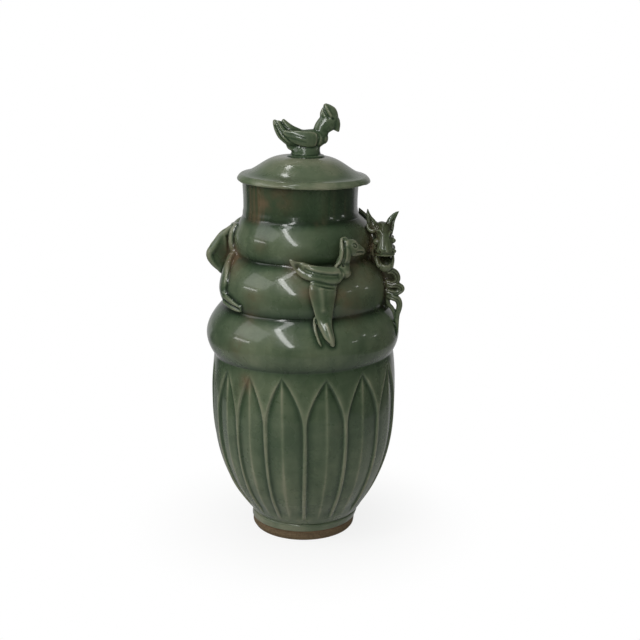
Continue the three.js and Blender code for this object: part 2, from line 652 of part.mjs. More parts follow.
const [lowerRoll, middleRoll, upperRoll] = rolls;
jar.add(
  toMesh("foot_base", footBase(), bareClay),
  toMesh("petal_bowl", petalBowl(), glaze),
  toMesh("lower_roll", rollShell(lowerRoll, wall, wall), glaze),
  toMesh("middle_roll", rollShell(middleRoll, wall, wall), glaze),
  toMesh("upper_roll", rollShell(upperRoll, wall, neckWall), glaze),
  toMesh("neck_collar", neckCollar(), deepGlaze),
  toMesh("dragon_trunk", seated(dragonTrunk), deepGlaze),
  toMesh("dragon_tail", seated(dragonTail, dragonTrunk), glaze),
  toMesh("dragon_haunch", seated(haunch, dragonTrunk, dragonTail), deepGlaze),
  toMesh("dragon_hind_leg", seated(hindLeg, dragonTrunk, dragonTail, haunch), thinGlaze),
  toMesh("dragon_hind_paw", seated(hindPaw, hindLeg), thinGlaze),
  toMesh("dragon_far_fore_leg", seated(farForeLeg, dragonTrunk), glaze),
  toMesh("dragon_far_fore_paw", seated(farForePaw, farForeLeg), glaze),
  toMesh("dragon_far_hind_leg", seated(farHindLeg, dragonTrunk), glaze),
  toMesh("dragon_far_hind_paw", seated(farHindPaw, farHindLeg), glaze),
  toMesh("dragon_head", seated(dragonHead, dragonTrunk), deepGlaze),
  toMesh("dragon_lower_jaw", seated(lowerJaw, dragonHead), deepGlaze),
  toMesh("dragon_left_ear", seated(leftEar, dragonHead), deepGlaze),
  toMesh("dragon_right_ear", seated(rightEar, dragonHead), deepGlaze),
  toMesh("dragon_left_eye", seated(leftEye, dragonHead), glaze),
  toMesh("dragon_right_eye", seated(rightEye, dragonHead), glaze),
  toMesh("dragon_beard", seated(beard, lowerJaw, dragonHead), deepGlaze),
  toMesh("bird_perch", seated(perch), glaze),
  toMesh("shoulder_bird_body", seated(birdBody, perch), glaze),
  toMesh("shoulder_bird_head", seated(birdHead, birdBody), glaze),
  toMesh("shoulder_bird_wing", seated(birdWing, birdBody, birdHead, perch), thinGlaze),
);
fins.forEach((shape, i) => jar.add(toMesh(`dragon_fin_${i + 1}`, seated(shape, dragonTrunk), deepGlaze)));

lid.add(
  toMesh("lid_dome", lidDome(), glaze),
  toMesh("lid_flange", lidFlange(), bareClay),
  toMesh("knob_stem", stem(0), glaze),
  toMesh("knob_bird_body", seated(knobBody, stem), glaze),
  toMesh("knob_bird_tail", seated(knobTail, knobBody, stem), glaze),
  toMesh("knob_bird_left_wing", seated(knobWing(1), knobBody, knobTail, stem), glaze),
  toMesh("knob_bird_right_wing", seated(knobWing(-1), knobBody, knobTail, stem), glaze),
  toMesh("knob_bird_head", seated(knobHead, knobBody, knobWing(1), knobWing(-1)), glaze),
);

const celadonJar = new THREE.Group();
celadonJar.add(jar, lid);

export default celadonJar;
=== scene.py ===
# The looks of a lidded celadon jar: carved petal bowl, swelling rolls, a coiled dragon and two birds.
# Sizes are in millimetres until a mesh is made, +Z up, the front of the jar facing -Y.
import math

import bpy
import numpy as np
from mathutils import Euler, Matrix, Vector
from mathutils.kdtree import KDTree


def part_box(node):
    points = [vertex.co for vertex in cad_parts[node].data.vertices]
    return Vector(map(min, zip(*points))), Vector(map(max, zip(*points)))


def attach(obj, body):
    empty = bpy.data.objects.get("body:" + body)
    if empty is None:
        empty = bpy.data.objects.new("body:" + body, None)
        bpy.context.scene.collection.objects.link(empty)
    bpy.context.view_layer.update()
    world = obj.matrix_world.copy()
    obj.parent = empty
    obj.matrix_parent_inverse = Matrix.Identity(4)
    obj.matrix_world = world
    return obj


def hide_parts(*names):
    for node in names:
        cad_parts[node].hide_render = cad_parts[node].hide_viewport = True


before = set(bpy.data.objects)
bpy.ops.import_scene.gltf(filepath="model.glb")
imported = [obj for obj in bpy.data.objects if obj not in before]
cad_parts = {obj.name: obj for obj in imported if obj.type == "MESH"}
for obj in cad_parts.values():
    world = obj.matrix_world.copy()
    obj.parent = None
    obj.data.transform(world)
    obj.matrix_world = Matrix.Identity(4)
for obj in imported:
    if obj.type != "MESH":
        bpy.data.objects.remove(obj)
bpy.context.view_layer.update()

MM = 0.001


def high(node):
    return np.array(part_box(node)[1]) / MM


# Levels and widest radii, taken from the frame
foot_z = high("foot_base")[2]
shoulder_z = high("petal_bowl")[2]
lower_crease_z = high("lower_roll")[2]
upper_crease_z = high("middle_roll")[2]
neck_base_z = high("upper_roll")[2]
rim_z = high("neck_collar")[2]
lid_top_z = high("lid_dome")[2]
lower_bulge = high("lower_roll")[1]
middle_bulge = high("middle_roll")[1]
upper_bulge = high("upper_roll")[1]
lid_radius = high("lid_dome")[1]

# Foot
foot_rest = 32.6
foot_radius = 35.8
foot_bevel_z = 8
foot_bevel = 35
foot_bore = 24
foot_recess = 5
glaze_line_z = 7

# Bowl and its petals
belly_radius = 60.3
belly_z = foot_z + 78
bowl_fullness = 2.4
shoulder_radius = 58.3
bowl_pinch = 0.8
wall = 6
petal_count = 15
front_petals = [-54.6, -34.8, -13, 14.1, 38.6, 66.3]
petal_arch = 32
petal_tip_drop = 3.2
petal_depth = 1.35
rib_share = 0.3
ridge_half_width = 0.75
petal_foot_z = foot_z + 3.2
petal_fade = 8

# Rolls and neck
lower_bulge_height = 12.5
lower_crease = 52.2
middle_bulge_height = 12
upper_crease = 42.8
upper_bulge_height = 9.5
neck_base = 37.4
neck_radius = 36.5
neck_cove = 5
rim_radius = 37
neck_wall = 5.5

# How far the potter's hand left each form from true
neck_lean = 2.0
lower_roll_lean = 0.7
bowl_lean = 0.9
seam_tilt = 1.0
lid_tilt = 0.023

# Lid
lid_rim_height = 3.2
lid_wall = 5.5
flange_clearance = 1.5
flange_wall = 4
flange_length = 10
stem_radius = 9
stem_offset = 1.3

# How finely the turned forms are modelled
row_spacing = 0.55
petal_columns = 900
roll_columns = 288
foot_columns = 256
flange_columns = 192

# How finely the figures are modelled
voxel = 0.3
fine_voxel = 0.28
coarse_voxel = 0.4

# The blocks of the jar and the lid that carry the figures
core_depth = 0.2
core_inside = 30
lid_core_radius = 26

# How thick glaze rounds off the line where a figure meets the jar, and where the figure is trimmed
fillet_reach = 2.2
fillet_core = 0.2
fillet_rounds = 14
sink = 0.3
sink_reach = 0.18
trim_height = -0.22

# Where glaze gathers on a figure, and the darker glaze along the line where a figure meets the jar and on the
# jar beside it: pooled glaze there, and painted shade
hollow_rounds = 16
hollow_depth = 0.11
seat_pool_and_shade = 0.9
seat_pool_and_shade_reach = 1.1
beside_pool_and_shade = 1.5
beside_pool_and_shade_reach = 1.6

# Curves and meshes


def smoothstep(start, end, value):
    t = np.clip((value - start) / (end - start), 0, 1)
    return t * t * (3 - 2 * t)


def gaussian(values, spread):
    """Smooths a row of values sampled at even steps. The spread is in steps."""
    reach = int(4 * spread) + 1
    kernel = np.exp(-0.5 * (np.arange(-reach, reach + 1) / spread) ** 2)
    padded = np.pad(values, reach, mode="edge")
    return np.convolve(padded, kernel / kernel.sum(), mode="valid")


def mesh_from(name, points, faces):
    """A mesh from points in millimetres and faces, which are arrays of quads or triangles."""
    mesh = bpy.data.meshes.new(name)
    counts = np.concatenate([np.full(len(f), f.shape[1]) for f in faces])
    corners = np.concatenate([f.ravel() for f in faces]).astype(np.int32)
    mesh.vertices.add(len(points))
    mesh.vertices.foreach_set("co", (np.asarray(points) * MM).astype(np.float32).ravel())
    mesh.loops.add(len(corners))
    mesh.loops.foreach_set("vertex_index", corners)
    mesh.polygons.add(len(counts))
    starts = np.concatenate([[0], np.cumsum(counts)[:-1]]).astype(np.int32)
    mesh.polygons.foreach_set("loop_start", starts)
    mesh.update(calc_edges=True)
    mesh.validate()
    return mesh


def add_object(name, data):
    obj = bpy.data.objects.new(name, data)
    bpy.context.scene.collection.objects.link(obj)
    return obj


def place(name, mesh, material, body, slot, *nodes):
    """Adds a finished mesh to the scene as the piece that stands for those nodes."""
    mesh.shade_smooth()
    mesh.set_sharp_from_angle(angle=math.radians(55))
    mesh.materials.append(material)
    piece = add_object(name, mesh)
    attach(piece, body)
    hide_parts(*nodes)


def paint(mesh, name, values):
    mesh.attributes.new(name, "FLOAT", "POINT").data.foreach_set("value", values.astype(np.float32))


# The jar's outline


def roll_radius(z, foot, foot_r, bulge, bulge_height, top, top_r):
    rise = z - foot
    below = bulge - (bulge - foot_r) * (1 - rise / bulge_height) ** 2
    above = bulge - (bulge - top_r) * ((rise - bulge_height) / (top - foot - bulge_height)) ** 2
    return np.where(rise < bulge_height, below, above)


def raw_outline(z):
    full = np.clip((z - foot_z) / (belly_z - foot_z), 0, 1)
    lower_bowl = foot_radius + (belly_radius - foot_radius) * (1 - (1 - full) ** bowl_fullness)
    lower_bowl = lower_bowl - bowl_pinch * smoothstep(foot_z + 22, foot_z + 2, z)
    towards_seam = (z - belly_z) / (shoulder_z - belly_z)
    upper_bowl = belly_radius - (belly_radius - shoulder_radius) * towards_seam ** 2
    cove = np.clip((z - neck_base_z) / neck_cove, 0, 1)
    neck = neck_base - (neck_base - neck_radius) * cove + (rim_radius - neck_radius) * smoothstep(
        neck_base_z + 9, rim_z, z)
    return np.select(
        [z < belly_z, z < shoulder_z, z < lower_crease_z, z < upper_crease_z, z < neck_base_z],
        [lower_bowl, upper_bowl,
         roll_radius(z, shoulder_z, shoulder_radius, lower_bulge, lower_bulge_height,
                     lower_crease_z, lower_crease),
         roll_radius(z, lower_crease_z, lower_crease, middle_bulge, middle_bulge_height,
                     upper_crease_z, upper_crease),
         roll_radius(z, upper_crease_z, upper_crease, upper_bulge, upper_bulge_height,
                     neck_base_z, neck_base)],
        neck)


outline_step = 0.1
outline_blur = 0.65
edge_steps = 12
pool_blur = 3.2
pool_depth = 0.8
outline_z = np.arange(foot_z, rim_z + outline_step, outline_step)
outline_r = gaussian(raw_outline(outline_z), outline_blur / outline_step)
outline_r[:edge_steps] = raw_outline(outline_z[:edge_steps])
outline_pool = (gaussian(outline_r, pool_blur / outline_step) - outline_r) / pool_depth


def jar_radius(z):
    return np.interp(z, outline_z, outline_r)


def jar_pool(z):
    """Where glaze pools on the outline: above 0 in the creases, below 0 on the swell of a roll."""
    return np.interp(z, outline_z, outline_pool)


def wobble(bearing, z):
    """The unevenness of a form thrown by hand: it is slightly out of round, and its middle wanders."""
    a = np.radians(bearing)
    uneven = 0.1 * (np.cos(2 * a + 0.6 + z / 40) + 0.7 * np.cos(3 * a + 2 + z / 23)) - 0.18
    to_the_right = (
        bowl_lean * smoothstep(foot_z + 26, foot_z + 2, z) * smoothstep(foot_z - 6, foot_z, z)
        - lower_roll_lean * np.exp(-((z - lower_crease_z + 20) / 9) ** 2)
        - neck_lean * smoothstep(neck_base_z - 7, neck_base_z + 3, z))
    return uneven + to_the_right * np.sin(a)


def seam_shift(bearing, z):
    """How far a level of the jar lies above its place there, because the seams aren't quite level."""
    right = np.sin(np.radians(bearing))
    at_shoulder = np.exp(-((z - shoulder_z) / 11) ** 2)
    at_rim = smoothstep(neck_base_z + 6, rim_z, z)
    return right * (seam_tilt * at_shoulder - lid_tilt * rim_radius * at_rim)


def surface(bearing, z):
    return jar_radius(z) + wobble(bearing, z)


def bearing_of(points):
    """Degrees from the front, positive to the viewer's right."""
    return np.degrees(np.arctan2(points[..., 1], points[..., 0])) + 90


def beside(bearing, z, standoff):
    """The point at a bearing and a height, that far off the jar's skin."""
    reach = float(jar_radius(z)) + standoff
    angle = math.radians(bearing - 90)
    return [reach * math.cos(angle), reach * math.sin(angle), z]


def patches(points, places):
    """Soft round patches. A place is [bearing, height, standoff, radius, strength]."""
    total = np.zeros(len(points))
    for bearing, z, standoff, radius, strength in places:
        gap = np.linalg.norm(points - beside(bearing, z, standoff), axis=1)
        total += strength * np.exp(-(gap / radius) ** 2)
    return total


# Turned forms


def grid_faces(rows, columns, ring=True, loop=False):
    """The quads between rows of points. A ring closes each row, a loop joins the last row to the first."""
    k = np.arange(columns if ring else columns - 1)
    after = (k + 1) % columns
    row = np.arange(rows if loop else rows - 1)[:, None] * columns
    next_row = (row + columns) % (rows * columns)
    return np.stack([row + k, row + after, next_row + after, next_row + k], axis=2).reshape(-1, 4)


def fans(rows, columns):
    """The triangles that close a ring grid round its last two points, one for each end."""
    k = np.arange(columns)
    after = (k + 1) % columns
    start = rows * columns
    last = (rows - 1) * columns
    return [np.stack([np.full(columns, start), after, k], axis=1),
            np.stack([np.full(columns, start + 1), last + k, last + after], axis=1)]


def revolve(profile, columns, closed, shift=None, shifted=None):
    """Turns a profile of [radius, z] round the axis. shift(bearing, z) moves the shifted rows outwards."""
    profile = np.asarray(profile, float)
    count = len(profile)
    turn = np.arange(columns) / columns * 360
    radius = np.repeat(profile[:, :1], columns, axis=1)
    height = np.repeat(profile[:, 1:], columns, axis=1)
    if shift is not None:
        radius = radius + np.asarray(shifted, float)[:, None] * shift(turn[None, :], height)
    angle = np.radians(turn - 90)
    points = np.stack([radius * np.cos(angle), radius * np.sin(angle), height], axis=2).reshape(-1, 3)
    if closed:
        return points, [grid_faces(count, columns, loop=True)]
    points = np.vstack([points, [0, 0, profile[0, 1]], [0, 0, profile[-1, 1]]])
    return points, [grid_faces(count, columns), *fans(count, columns)]


def rounded(corners, closed=False, spacing=1.0):
    """A profile with its corners rounded. A corner is [radius, z, size of the round]."""
    corners = np.asarray(corners, float)
    count = len(corners)
    line = []
    for i, (r, z, size) in enumerate(corners):
        here = np.array([r, z])
        ends = not closed and i in (0, count - 1)
        if size == 0 or ends:
            line.append(here)
            continue
        before, after = corners[i - 1, :2], corners[(i + 1) % count, :2]
        start = here + (before - here) * min(size / np.linalg.norm(before - here), 0.5)
        end = here + (after - here) * min(size / np.linalg.norm(after - here), 0.5)
        for t in np.linspace(0, 1, 7):
            line.append((1 - t) ** 2 * start + 2 * t * (1 - t) * here + t * t * end)
    dense = []
    legs = zip(line, line[1:] + line[:1]) if closed else zip(line, line[1:])
    for a, b in legs:
        steps = max(1, int(np.linalg.norm(b - a) / spacing))
        dense += [a + (b - a) * t / steps for t in range(steps)]
    return np.array(dense if closed else dense + [line[-1]])


def thrown(bottom, top, thickness_below, thickness_above, columns=roll_columns, shift=wobble):
    """A hollow section of the jar between two levels, as points, faces and the outer rows' marks."""
    up = np.linspace(bottom, top, int((top - bottom) / row_spacing) + 1)
    down = np.linspace(top, bottom, 9)
    share = (down - bottom) / (top - bottom)
    inner = jar_radius(down) - thickness_below * (1 - share) - thickness_above * share
    profile = np.concatenate([
        np.stack([jar_radius(up), up], axis=1),
        np.stack([inner, down], axis=1)])
    outer = np.concatenate([np.ones(len(up)), np.zeros(len(down))])
    points, faces = revolve(profile, columns, True, shift, outer)
    points[:, 2] += seam_shift(bearing_of(points), points[:, 2])
    return points, faces, np.repeat(outer, columns)


# The petals


def petal_centres():
    rest = petal_count - len(front_petals)
    pitch = (360 + front_petals[0] - front_petals[-1]) / (rest + 1)
    return np.array(front_petals + [front_petals[-1] + pitch * (i + 1) for i in range(rest)])


def petal_cut(bearing, z):
    """How far the knife went in at a place on the bowl, and how near it is to a mid rib."""
    centres = petal_centres()
    bearing = bearing + 0.3 * np.sin(z / 15 + bearing / 25)
    wrapped = (bearing - centres[0] + 14) % 360 + centres[0] - 14
    edges = np.append((centres[:-1] + centres[1:]) / 2, (centres[-1] + centres[0] + 360) / 2)
    index = np.clip(np.searchsorted(edges, wrapped), 0, len(centres) - 1)
    before = np.concatenate([[centres[-1] - 360], centres[:-1]])
    after = np.concatenate([centres[1:], [centres[0] + 360]])
    side = wrapped - centres[index]
    half = np.where(side < 0, centres[index] - before[index], after[index] - centres[index]) / 2
    scale = np.radians(1) * jar_radius(z)
    tip_z = shoulder_z - petal_tip_drop - 0.7 * np.sin(index * 2.4)
    arch_z = tip_z - petal_arch
    t = np.clip((z - arch_z) / petal_arch, 0, 1.2)
    reach = (half * scale - ridge_half_width) * (1 - t ** 1.75)
    lean = 1 / np.sqrt(1 + (half * scale * 1.75 / petal_arch * t ** 0.75) ** 2)
    inside = (reach - np.abs(side) * scale) * lean
    widest = np.maximum(reach * lean, 0.6)
    bank = np.clip((inside - 0.9) / np.maximum(widest - 0.9, 0.5), 0, 1)
    slope = np.sqrt((1 - bank) ** 2 + 0.003) - 0.0545
    flute = rib_share + (1 - rib_share) * slope ** 0.8
    depth = petal_depth * smoothstep(-0.2, 1.1, inside) * flute * np.clip(widest / 3.5, 0, 1)
    lip = 0.06 * np.exp(-((inside + 0.5) / 0.6) ** 2)
    above_foot = smoothstep(petal_foot_z, petal_foot_z + petal_fade, z)
    fade = above_foot * smoothstep(tip_z + 1.8, tip_z + 0.5, z)
    rib = np.exp(-(np.abs(side) * scale / 0.9) ** 2) * smoothstep(1, 4, widest)
    return (depth - lip) * fade, rib * fade


def petal_bowl(material):
    def carved(bearing, z):
        return wobble(bearing, z) - petal_cut(bearing, z)[0]

    points, faces, outer = thrown(foot_z, shoulder_z, wall, wall, petal_columns, carved)
    grid = points[outer > 0].reshape(-1, petal_columns, 3)
    z = grid[..., 2]
    cut, rib = petal_cut(bearing_of(grid), z)
    one_turn = slice(petal_columns, 2 * petal_columns)
    around = np.apply_along_axis(lambda row: gaussian(np.tile(row, 3), 5)[one_turn], 1, cut)
    level = np.apply_along_axis(lambda column: gaussian(column, 4), 0, around)
    above_foot = smoothstep(foot_z, foot_z + 10, z)
    towards_foot = smoothstep(belly_z, foot_z, z)
    pool_and_shade = np.clip((cut - level) / 0.5, -0.75, 0.8) - 0.4 * rib + 0.5 * jar_pool(z) * above_foot
    pool_and_shade -= 0.2 + 0.45 * towards_foot
    everywhere = np.zeros(len(points))
    everywhere[outer > 0] = pool_and_shade.ravel()
    add_glazed("petal_bowl_glazed", points, faces, everywhere, material, "jar", "celadon_glaze",
               ["petal_bowl"])


# Where the glaze burned brown
scorches = [
    [-93, 185, 0, 9, 0.8], [-75, 184, 0, 7, 0.9], [-62, 180, 0, 8, 0.35], [-37, 197, 0, 5, 0.35],
    [-35, 166, 0, 7, 0.35], [-40, 136, 0, 8, 0.35], [-37, 152, 0, 6, 0.3], [-6, 183, 0, 8, 0.45],
    [2, 171, 0, 5, 0.6], [26, 168, 0, 7, 0.45], [47, 182, 0, 14, 0.4], [34, 159, 0, 9, 0.3],
    [74, 195, 0, 15, 0.55], [80, 168, 0, 13, 0.5], [-37, 113, 0, 5, 0.8], [-40, 221, 0, 4, 0.7],
    [-20, 227, 0, 9, 0.5], [130, 178, 0, 12, 0.5], [200, 184, 0, 9, 0.6], [165, 150, 0, 12, 0.4],
    [240, 118, 0, 9, 0.5], [150, 112, 0, 6, 0.7], [170, 224, 0, 8, 0.6],
]


def add_glazed(name, points, faces, pool_and_shade, material, body, slot, nodes, streak=None):
    """Adds a piece with the depth of its glaze, with the painted shade that is carried along with it, and its
    burns and streaks painted on.
    """
    mesh = mesh_from(name, points, faces)
    paint(mesh, "pool_and_shade", pool_and_shade)
    paint(mesh, "scorch", patches(points, scorches))
    if streak is not None:
        paint(mesh, "streak", streak)
    place(name, mesh, material, body, slot, *nodes)


def on_neck(points):
    """Painted shade under the lid darkens the glaze on the neck, and brown streaks run down it. Both fade out
    just below the neck's base.
    """
    at_neck = smoothstep(neck_base_z - 5, neck_base_z + 2, points[:, 2])
    towards_left = np.exp(-((bearing_of(points) + 48) / 26) ** 2)
    return 0.42 * at_neck, at_neck * (0.3 + 0.7 * towards_left)


def section(node, bottom, top, thickness_below, thickness_above, material):
    """One of the three rolls of the shoulder."""
    points, faces, outer = thrown(bottom, top, thickness_below, thickness_above)
    shade_under_lid, streak = on_neck(points)
    # Glaze pooled in the creases, painted shade under the lid near the neck, and pooled glaze with painted
    # shade beside the figures
    pool_and_shade = outer * (jar_pool(points[:, 2]) + shade_under_lid + pool_and_shade_beside_figures(points))
    streak = outer * streak
    add_glazed(node + "_glazed", points, faces, pool_and_shade, material, "jar", "celadon_glaze", [node], streak)


def jar_foot(material):
    profile = rounded([
        [0, foot_recess, 0], [foot_bore - 1.5, foot_recess, 1.2], [foot_bore, foot_recess - 1.5, 1.2],
        [foot_bore + 1, 0, 0.5], [foot_rest - 0.2, 0, 0.9], [foot_rest + 1.6, 2.2, 1.6],
        [foot_bevel - 0.9, glaze_line_z - 0.5, 1.2], [foot_bevel - 0.5, glaze_line_z, 0.15],
        [foot_bevel - 0.2, glaze_line_z + 0.3, 0.3], [foot_bevel + 0.1, foot_bevel_z + 1, 1],
        [foot_radius - 0.4, foot_z - 0.8, 0.8], [foot_radius - bowl_pinch - 0.3, foot_z, 0],
        [0, foot_z, 0],
    ], spacing=0.5)

    def rough(bearing, z):
        a = np.radians(bearing)
        trimmed = 0.12 * np.sin(5 * a + 1 + z) + 0.1 * np.sin(9 * a + 2.2) - 0.22
        trimmed = np.where((z > 0.3) & (z < glaze_line_z), trimmed, 0)
        return trimmed + wobble(bearing, z) * smoothstep(5, 9, z)

    shifted = profile[:, 0] > foot_rest + 0.2
    points, faces = revolve(profile, foot_columns, False, rough, shifted)
    pool_and_shade = np.where(points[:, 2] > foot_z - 1.4, -0.6, -0.8)
    add_glazed("jar_foot", points, faces, pool_and_shade, material, "jar", "bare_clay", ["foot_base"])


def jar_neck(material):
    bore = neck_base - neck_wall
    up = np.linspace(neck_base_z, rim_z - 1.2, 34)
    outside = np.stack([jar_radius(up), up], axis=1)
    lip = rounded([[rim_radius, rim_z - 1.2, 0], [rim_radius - 0.1, rim_z, 1], [bore, rim_z, 1.2],
                   [bore, neck_base_z, 0]], spacing=0.8)
    profile = np.concatenate([outside, lip[1:]])
    outer = np.concatenate([np.ones(len(up)), np.zeros(len(lip) - 1)])
    points, faces = revolve(profile, foot_columns, True, wobble, outer)
    marks = np.repeat(outer, foot_columns)
    shade_under_lid, streak = on_neck(points)
    # Glaze pooled in the cove, and painted shade under the lid on the neck
    pool_and_shade = marks * (jar_pool(points[:, 2]) + shade_under_lid)
    points[:, 2] += seam_shift(bearing_of(points), points[:, 2])
    streak = marks * streak
    add_glazed("jar_neck", points, faces, pool_and_shade, material, "jar", "celadon_glaze", ["neck_collar"], streak)


# The lid

lid_droop = 1.5
droop_start = rim_radius + neck_lean + 0.4
flange_radius = neck_base - neck_wall - flange_clearance
crown_radius = stem_radius + 3.4
lid_shoulder = lid_radius - 1.8
rim_top_z = rim_z + lid_rim_height


def lid_height(radius):
    """The height of the lid's upper surface at a distance from its middle."""
    t = np.clip((radius - crown_radius) / (lid_shoulder - crown_radius), 0, 1)
    dip = 0.35 * smoothstep(crown_radius, stem_radius, radius)
    return rim_top_z + (lid_top_z - rim_top_z) * (1 + np.cos(np.pi * t ** 1.15)) / 2 - dip


def tilted(points):
    """The lid sits a little lower at the viewer's right."""
    return points - np.outer(points[:, 0] * lid_tilt, [0, 0, 1])


def lid_dome(material):
    hollow_z = lid_top_z - lid_wall
    under = rounded([
        [0, hollow_z, 0], [(flange_radius - flange_wall) / 2, hollow_z - 1, 2],
        [flange_radius - flange_wall - 2, (rim_z + hollow_z) / 2, 2],
        [flange_radius - flange_wall, rim_z, 0.3], [lid_radius - 0.9, rim_z, 0.8],
        [lid_radius, rim_z + 1, 0.9], [lid_radius - 0.1, rim_top_z - 1, 0.9],
        [lid_radius - 0.8, rim_top_z - 0.2, 0.6], [lid_shoulder, rim_top_z, 0],
    ], spacing=0.5)
    radii = np.linspace(lid_shoulder, 1, 70)[1:]
    upper = np.stack([radii, lid_height(radii)], axis=1)
    profile = np.concatenate([under, upper])

    def edge(bearing, z):
        a = np.radians(bearing)
        rim = smoothstep(rim_top_z + 1, rim_top_z - 1, z)
        uneven = np.sin(3 * a + 1) + 0.7 * np.sin(7 * a + 4) + 0.45 * np.sin(16 * a + 2 * z) - 2.2
        return 0.12 * uneven * rim

    shifted = profile[:, 0] > lid_shoulder - 1
    points, faces = revolve(profile, roll_columns, False, edge, shifted)
    a = np.radians(bearing_of(points))
    radius = np.hypot(points[:, 0], points[:, 1])
    uneven = np.sin(2 * a + 0.5) + 0.8 * np.sin(5 * a + 3) + 0.5 * np.sin(13 * a) + 0.35 * np.sin(29 * a + 1)
    at_edge = smoothstep(lid_radius - 4, lid_radius - 1, radius)
    hanging = at_edge * smoothstep(rim_z + 3, rim_z, points[:, 2])
    droop = lid_droop * smoothstep(droop_start, lid_radius - 0.4, radius)
    points[:, 2] += 0.12 * (uneven + 2.4) * hanging - droop
    t = radius / lid_radius
    on_top = 0.5 * np.exp(-((t - 0.84) / 0.1) ** 2) - 0.15 - 0.3 * smoothstep(0.7, 0.3, t)
    pool_and_shade = np.where(points[:, 2] > rim_top_z - 2, on_top, -0.12)
    # A darker ring round the foot of the knob: glaze pooling there, and painted shade
    pool_and_shade += 0.7 * np.exp(-((radius - stem_radius - 1) / 1.5) ** 2)
    add_glazed("lid_dome_glazed", tilted(points), faces, pool_and_shade, material, "lid", "lid_glaze", ["lid_dome"])


def lid_flange(material):
    low_z = rim_z - flange_length
    profile = rounded([
        [flange_radius - flange_wall, low_z, 0.9], [flange_radius, low_z, 0.9],
        [flange_radius, rim_z, 0], [flange_radius - flange_wall, rim_z, 0]], closed=True, spacing=0.8)
    points, faces = revolve(profile, flange_columns, True)
    mesh = mesh_from("lid_flange_ring", tilted(points), faces)
    place("lid_flange_ring", mesh, material, "lid", "bare_clay", "lid_flange")


# Modelled figures


def spline(rows, steps):
    """A smooth line through the rows, with both ends on it."""
    rows = np.array(rows, float)
    padded = np.vstack([2 * rows[0] - rows[1], rows, 2 * rows[-1] - rows[-2]])
    t = (np.arange(steps) / steps)[:, None]
    line = []
    for a, b, c, d in zip(padded, padded[1:], padded[2:], padded[3:]):
        line.append(0.5 * (2 * b + (c - a) * t + (2 * a - 5 * b + 4 * c - d) * t ** 2
                           + (3 * b - a - 3 * c + d) * t ** 3))
    return np.vstack(line + [rows[-1:]])


def limb(rows, outward, sides=20, steps=7, end=0.9):
    """A tapering form along a smooth line. A row is [x, y, z, half width, half thickness]."""
    line = spline(rows, steps)
    centres = line[:, :3]
    width = np.maximum(line[:, 3:4], 0.15)
    depth = np.maximum(line[:, 4:5], 0.15)
    tangents = np.gradient(centres, axis=0)
    tangents /= np.linalg.norm(tangents, axis=1, keepdims=True)
    across = np.cross(outward(centres), tangents)
    across /= np.linalg.norm(across, axis=1, keepdims=True)
    out = np.cross(tangents, across)
    turn = np.arange(sides) / sides * 2 * np.pi
    sections = [across[i] * width[i] * np.cos(turn)[:, None] + out[i] * depth[i] * np.sin(turn)[:, None]
                for i in range(len(line))]
    rings = [centre + ring for centre, ring in zip(centres, sections)]
    tips = []
    for i, direction in ((0, -1), (-1, 1)):
        reach = tangents[i] * direction * (end * min(width[i, 0], depth[i, 0]))
        cap = [centres[i] + reach * math.sin(a) + sections[i] * math.cos(a) for a in (0.45, 0.9, 1.25)]
        rings = rings + cap if i else cap[::-1] + rings
        tips.append(centres[i] + reach)
    return np.vstack(rings + tips), [grid_faces(len(rings), sides), *fans(len(rings), sides)]


def radially(centres):
    flat = centres * [1, 1, 0]
    return flat / np.linalg.norm(flat, axis=1, keepdims=True)


def facing(x, y, z):
    return lambda centres: np.tile([float(x), float(y), float(z)], (len(centres), 1))


def on_jar(rows, level=0.0, **options):
    """A limb on the jar: rows of [bearing, height above the level, standoff, half width, half thickness]."""
    return limb([[*beside(b, level + z, off), w, d] for b, z, off, w, d in rows], radially, **options)


def at(anchor, rows, outward, **options):
    """A limb whose rows are counted from an anchor."""
    return limb([[*(np.array(row[:3]) + anchor), *row[3:]] for row in rows], outward, **options)


def ball(anchor, centre, radii):
    x, y, z = centre
    rx, ry, rz = radii
    rows = [[x + rx * share, y, z, ry * size, rz * size]
            for share, size in ((-0.85, 0.5), (-0.5, 0.87), (0, 1), (0.5, 0.87), (0.85, 0.5))]
    return at(anchor, rows, facing(0, 0, 1), end=0.6)


def solid_object(name, solids):
    points, faces, offset = [], [], 0
    for part_points, part_faces in solids:
        points.append(part_points)
        faces += [f + offset for f in part_faces]
        offset += len(part_points)
    return add_object(name, mesh_from(name, np.vstack(points), faces))


def reshaped(obj, kind, **settings):
    """Runs one modifier and puts its result in place of the object's mesh."""
    modifier = obj.modifiers.new(kind, kind)
    for key, value in settings.items():
        setattr(modifier, key, value)
    result = bpy.data.meshes.new_from_object(obj.evaluated_get(bpy.context.evaluated_depsgraph_get()))
    obj.modifiers.clear()
    obj.data = result
    return obj


def remeshed(obj, size):
    """The object's outer skin as one even mesh, with its overlapping solids fused."""
    return reshaped(obj, "REMESH", mode="VOXEL", voxel_size=size * MM)


def arrays(mesh):
    points = np.empty(len(mesh.vertices) * 3, np.float32)
    mesh.vertices.foreach_get("co", points)
    edges = np.empty(len(mesh.edges) * 2, np.int32)
    mesh.edges.foreach_get("vertices", edges)
    corners = np.empty(len(mesh.loops), np.int32)
    mesh.loops.foreach_get("vertex_index", corners)
    return points.reshape(-1, 3).astype(float) / MM, edges.reshape(-1, 2), corners.reshape(-1, 4)


def neighbour_mean(points, edges):
    count = len(points)
    ends = np.concatenate([edges[:, 0], edges[:, 1]])
    others = np.concatenate([edges[:, 1], edges[:, 0]])
    degree = np.maximum(np.bincount(ends, minlength=count), 1)
    sums = [np.bincount(ends, points[others, axis], count) for axis in range(3)]
    return np.stack(sums, axis=1) / degree[:, None]


